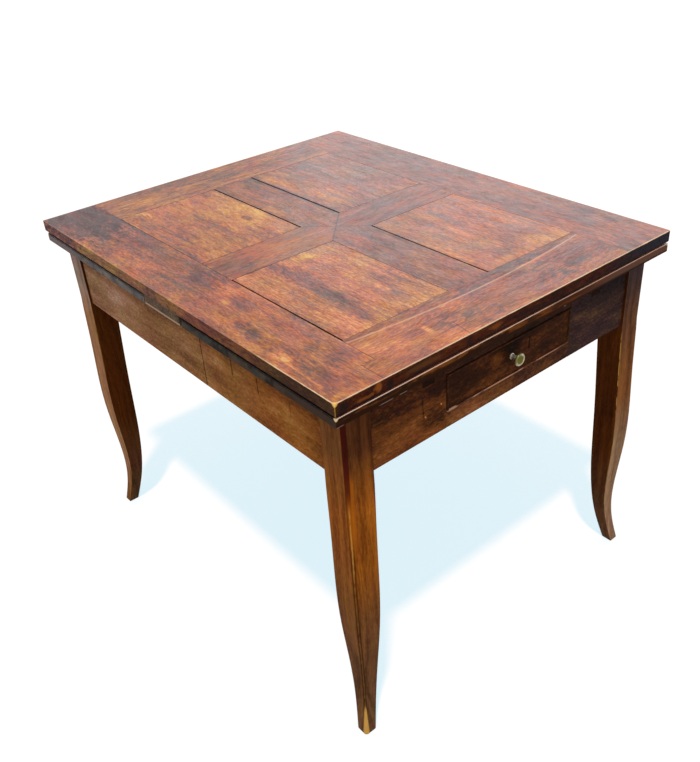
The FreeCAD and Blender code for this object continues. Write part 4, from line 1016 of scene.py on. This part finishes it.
def leg_wood(node, end, side, seed):
    wood = Wood(node, "zxy", seed, LEG_BIAS, LEG_GRAIN, LEG_CONTRAST)
    inward_x = 1.0 if side == "left" else -1.0
    inward_y = 1.0 if end == "near" else -1.0
    wood.colour = wood.ramp(wood.z, *LEG_RUNS.get((node, "x"), OUTER_RUN))
    wood.cover(wood.ramp(wood.z, *LEG_RUNS.get((node, "y"), OUTER_RUN)), wood.faces("y", -inward_y))
    # Inner faces: dark stain and painted shade under the table
    inner = wood.ramp(wood.z, *INNER_RUN)
    wood.cover(inner, wood.faces("x", inward_x))
    wood.cover(inner, wood.faces("y", inward_y))
    wood.tint(wood.mix(wood.spread, GRAIN_DARK, GRAIN_LIGHT), 1.0)
    wood.lean_tint()
    turned = wood.fold("MINIMUM", *(wood.math("ABSOLUTE", wood.facing[axis]) for axis in "xy"))
    rim = wood.smooth(turned, *RIM_TURN)
    wood.tint(RIM_SHADE, rim)
    rubbed = wood.product(rim, wood.smooth(wood.ragged, *RUB_PATCHES))
    most = wood.smooth(wood.away(wood.z, RUB_MOST_Z), *RUB_REACH)
    strength = RUB_STRENGTH.get(node, RUB_ELSEWHERE)
    wood.cover(BARE_OCHRE, rubbed, most, wood.smooth(wood.z, *BELOW_HEAD), strength)
    if node == "leg_near_left":
        front_arris(wood)
    return wood.done(ROUGHNESS["side"], SIDE_SHEEN)


def front_arris(wood):
    """The arris nearest the viewer: dark red in a glow above, a thin bare line below, a bare tip."""
    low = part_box("leg_near_left")[0]
    offset = wood.math("SUBTRACT", wood.x, wood.y)
    beside = wood.scaled(wood.away(offset, low.x - low.y), 1 / math.sqrt(2))
    outer = wood.fold("MAXIMUM", *(wood.faces(axis, -1.0, *FRONT_TURN) for axis in "xy"))
    glow = wood.product(wood.smooth(beside, *GLOW_BESIDE), wood.band(wood.z, *GLOW_Z))
    wood.cover(GLOW, wood.faces("y", -1.0), glow)
    wood.cover(DARK_RED, outer, wood.smooth(beside, *STRIP_BESIDE), wood.smooth(wood.z, *STRIP_Z))
    thin = wood.smooth(wood.roughened(beside, THIN_RAGGED), *THIN_BESIDE)
    thin = wood.product(thin, wood.smooth(wood.z, *THIN_Z), wood.smooth(wood.z, *THIN_FADE))
    wood.cover(BARE_OCHRE, outer, thin)
    tip = wood.smooth(wood.total(beside, wood.scaled(wood.z, TIP_TAPER)), *TIP_BESIDE)
    wood.cover(BARE_OCHRE, outer, tip, wood.smooth(wood.z, *TIP_Z))


def dress_legs():
    legs = [(end, side) for end in ("near", "far") for side in ("left", "right")]
    for seed, (end, side) in enumerate(legs, LEG_SEED):
        node = f"leg_{end}_{side}"
        dress(node, leg_wood(node, end, side, seed), EASE["leg"])


# Inside: bare aged wood by its grain, seed and ramp place, and the stained bearers
BARE_WOODS = {
    "bare_inner_wood": ("yxz", 80, 0.55),
    "bare_inner_wood_cross": ("xyz", 81, 0.55),
    "peg_wood_turned": ("zxy", 82, 0.35),
}
INNER_CONTRAST = 0.8
BEARER_SEED = 83
BEARER_BIAS = 0.4
# Painted shade on the bearers' ends, to match the shaded end aprons under the leaf
BEARER_END_SHADE = (0.13, 0.16, 0.4)


def bare_wood(name):
    wood = Wood(name, *BARE_WOODS[name], SIDE_GRAIN, INNER_CONTRAST)
    wood.paint(BARE_RAMP)
    return wood.done(ROUGHNESS["inner"], INNER_SHEEN)


def bearer_wood():
    """Stained wood with ends painted nearly black as shade, where the bearers show in the end aprons.
    """
    wood = Wood("stained_bearer_wood", "yxz", BEARER_SEED, BEARER_BIAS, SIDE_GRAIN, INNER_CONTRAST)
    wood.paint(SIDE_RAMP)
    for sign in (1.0, -1.0):
        wood.tint(BEARER_END_SHADE, wood.faces("y", sign))
    return wood.done(ROUGHNESS["inner"], SIDE_SHEEN)


def dress_inside():
    bare, bare_cross, peg = (bare_wood(name) for name in BARE_WOODS)
    stained = bearer_wood()
    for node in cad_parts:
        if node.startswith("corner_block_") and not node.endswith("screws"):
            dress(node, bare_cross)
        elif "bearer" in node:
            dress(node, stained, EASE["inner"])
        elif "runner" in node or "kicker" in node or "drawer_side" in node:
            dress(node, bare, EASE["inner"])
        elif node in ("centre_rail", "drawer_back", "drawer_bottom"):
            dress(node, bare_cross, EASE["cross"])
        elif "pegs" in node or "pins" in node or node == "drawer_stops":
            dress(node, peg)


# The knob: pale rubbed brass, with olive patina in its dish, painted shade on its upper left and a
# painted highlight on its stem
KNOB_RUBBED = (0.52, 0.48, 0.34)
KNOB_DULL = (0.3, 0.27, 0.15)
KNOB_RUB = (0.35, 0.65)
KNOB_DIRT_SCALE = 300.0
KNOB_PATINA = (0.105, 0.098, 0.008)
# The dish: its radius and how ragged that is, and its depth from the knob's front
DISH_RADIUS = (0.0088, 0.0072)
DISH_RAGGED = 0.002
DISH_DEPTH = (0.0055, 0.0045)
# The shaded side: a direction in x and z, and how far along it
KNOB_SHADED = (0.16, 0.15, 0.04)
SHADED_ALONG = (0.8, -0.6)
SHADED_FROM = (-0.003, -0.009)
# A painted highlight on the upper side of the stem, by its depth from the knob's front
KNOB_STEM_HIGHLIGHT = (0.95, 0.93, 0.82)
STEM_DEPTH = (0.006, 0.008)
STEM_TURN = (0.1, 0.6)
KNOB_METAL = {"Metallic": 0.75, "Roughness": 0.4}
STEEL_RAMP = ((0.3, (0.14, 0.12, 0.1)), (0.7, (0.42, 0.41, 0.4)))
STEEL_DIRT_SCALE = 400.0
STEEL_METAL = {"Metallic": 1.0, "Roughness": 0.45}


def dress_knob():
    brass = Surface("aged_brass")
    low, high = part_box("drawer_knob")
    middle = (low + high) / 2
    u = brass.math("SUBTRACT", brass.x, middle.x)
    v = brass.math("SUBTRACT", brass.z, middle.z)
    depth = brass.math("SUBTRACT", brass.y, low.y)
    dirt = brass.noise(brass.point, KNOB_DIRT_SCALE, detail=4.0, roughness=0.6)
    colour = brass.mix(brass.smooth(dirt, *KNOB_RUB), KNOB_DULL, KNOB_RUBBED)
    along = brass.total(*(brass.scaled(*pair) for pair in zip((u, v), SHADED_ALONG)))
    colour = brass.mix(brass.smooth(along, *SHADED_FROM), colour, KNOB_SHADED)
    stem_highlight = brass.product(brass.faces("z", 1.0, *STEM_TURN), brass.smooth(depth, *STEM_DEPTH))
    colour = brass.mix(stem_highlight, colour, KNOB_STEM_HIGHLIGHT)
    radius = brass.math("SQRT", brass.total(brass.product(u, u), brass.product(v, v)))
    radius = brass.total(radius, brass.centred(dirt, DISH_RAGGED))
    dish = brass.product(brass.smooth(radius, *DISH_RADIUS), brass.smooth(depth, *DISH_DEPTH))
    colour = brass.mix(dish, colour, KNOB_PATINA)
    dress("drawer_knob", brass.finish({"Base Color": colour, **KNOB_METAL}))


def dress_screws():
    steel = Surface("dull_steel")
    dirt = steel.noise(steel.point, STEEL_DIRT_SCALE, detail=3.0, roughness=0.6)
    material = steel.finish({"Base Color": steel.ramp(dirt, *STEEL_RAMP), **STEEL_METAL})
    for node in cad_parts:
        if node.endswith("screws") or node == "knob_screw":
            dress(node, material)


def make_floor():
    mesh = bpy.data.meshes.new("studio_floor")
    half = FLOOR_SIZE / 2
    corners = [(-half, -half, 0), (half, -half, 0), (half, half, 0), (-half, half, 0)]
    mesh.from_pydata(corners, [], [(0, 1, 2, 3)])
    floor = bpy.data.objects.new("studio_floor", mesh)
    bpy.context.scene.collection.objects.link(floor)
    material = bpy.data.materials.new("pale_floor")
    material.use_nodes = True
    graph = Graph(material.node_tree)
    lit = graph.add("ShaderNodeBsdfDiffuse", {"Color": FLOOR_COLOUR}).outputs[0]
    shade = graph.add("ShaderNodeBsdfDiffuse", {"Color": FLOOR_SHADE}).outputs[0]
    lift = graph.add("ShaderNodeEmission", {"Color": FLOOR_LIFT, "Strength": 1.0}).outputs[0]
    seen = graph.add("ShaderNodeAddShader", {0: shade, 1: lift}).outputs[0]
    shown = graph.add("ShaderNodeMixShader", {0: graph.seen_directly(), 1: lit, 2: seen})
    graph.add("ShaderNodeOutputMaterial", {"Surface": shown.outputs[0]})
    mesh.materials.append(material)


def make_room():
    world = bpy.data.worlds.new("white_room")
    world.use_nodes = True
    bpy.context.scene.world = world
    graph = Graph(world.node_tree)
    strength = graph.scaled(graph.seen_directly(), 1.0 - ROOM_STRENGTH, ROOM_STRENGTH)
    sky = graph.add("ShaderNodeBackground", {"Color": ROOM_COLOUR, "Strength": strength})
    graph.add("ShaderNodeOutputWorld", {"Surface": sky.outputs[0]})


def put_in_scene(name, data, at, towards, turn=0.0):
    """Puts a lamp or camera in the scene, aimed along its own -Z."""
    thing = bpy.data.objects.new(name, data)
    thing.rotation_mode = "QUATERNION"
    aim = (towards - at).to_track_quat("-Z", "Y")
    thing.rotation_quaternion = aim @ Quaternion((0, 0, 1), math.radians(turn))
    thing.location = at
    bpy.context.scene.collection.objects.link(thing)
    return thing


def make_lamps():
    sun = bpy.data.lights.new("key_sun", "SUN")
    sun.energy = SUN_STRENGTH
    sun.angle = math.radians(SUN_SPREAD)
    put_in_scene("key_sun", sun, SUN_FROM * SUN_DISTANCE, Vector())
    panel = bpy.data.lights.new("back_softbox", "AREA")
    panel.shape = "RECTANGLE"
    panel.size, panel.size_y = SOFTBOX_SIZE
    panel.energy = SOFTBOX_RADIANCE * math.pi * panel.size * panel.size_y
    panel.color = SOFTBOX_COLOUR
    put_in_scene("back_softbox", panel, SOFTBOX_AT, SOFTBOX_AIM).visible_camera = False


def make_camera():
    data = bpy.data.cameras.new("camera")
    longer_side = max(IMAGE_WIDTH, IMAGE_HEIGHT)
    data.sensor_width = SENSOR_MM
    data.lens = FOCAL_PIXELS / longer_side * SENSOR_MM
    data.shift_x = (IMAGE_WIDTH / 2 - LENS_AXIS_U) / longer_side
    data.shift_y = (LENS_AXIS_V - IMAGE_HEIGHT / 2) / longer_side
    camera = put_in_scene("camera", data, CAMERA_AT, CAMERA_TARGET, CAMERA_ROLL)
    bpy.context.scene.camera = camera


bpy.context.scene.view_settings.view_transform = "Standard"
dress_top()
dress_leaves()
dress_aprons()
dress_legs()
dress_inside()
dress_knob()
dress_screws()
make_floor()
make_room()
make_lamps()
make_camera()

bpy.context.view_layer.update()
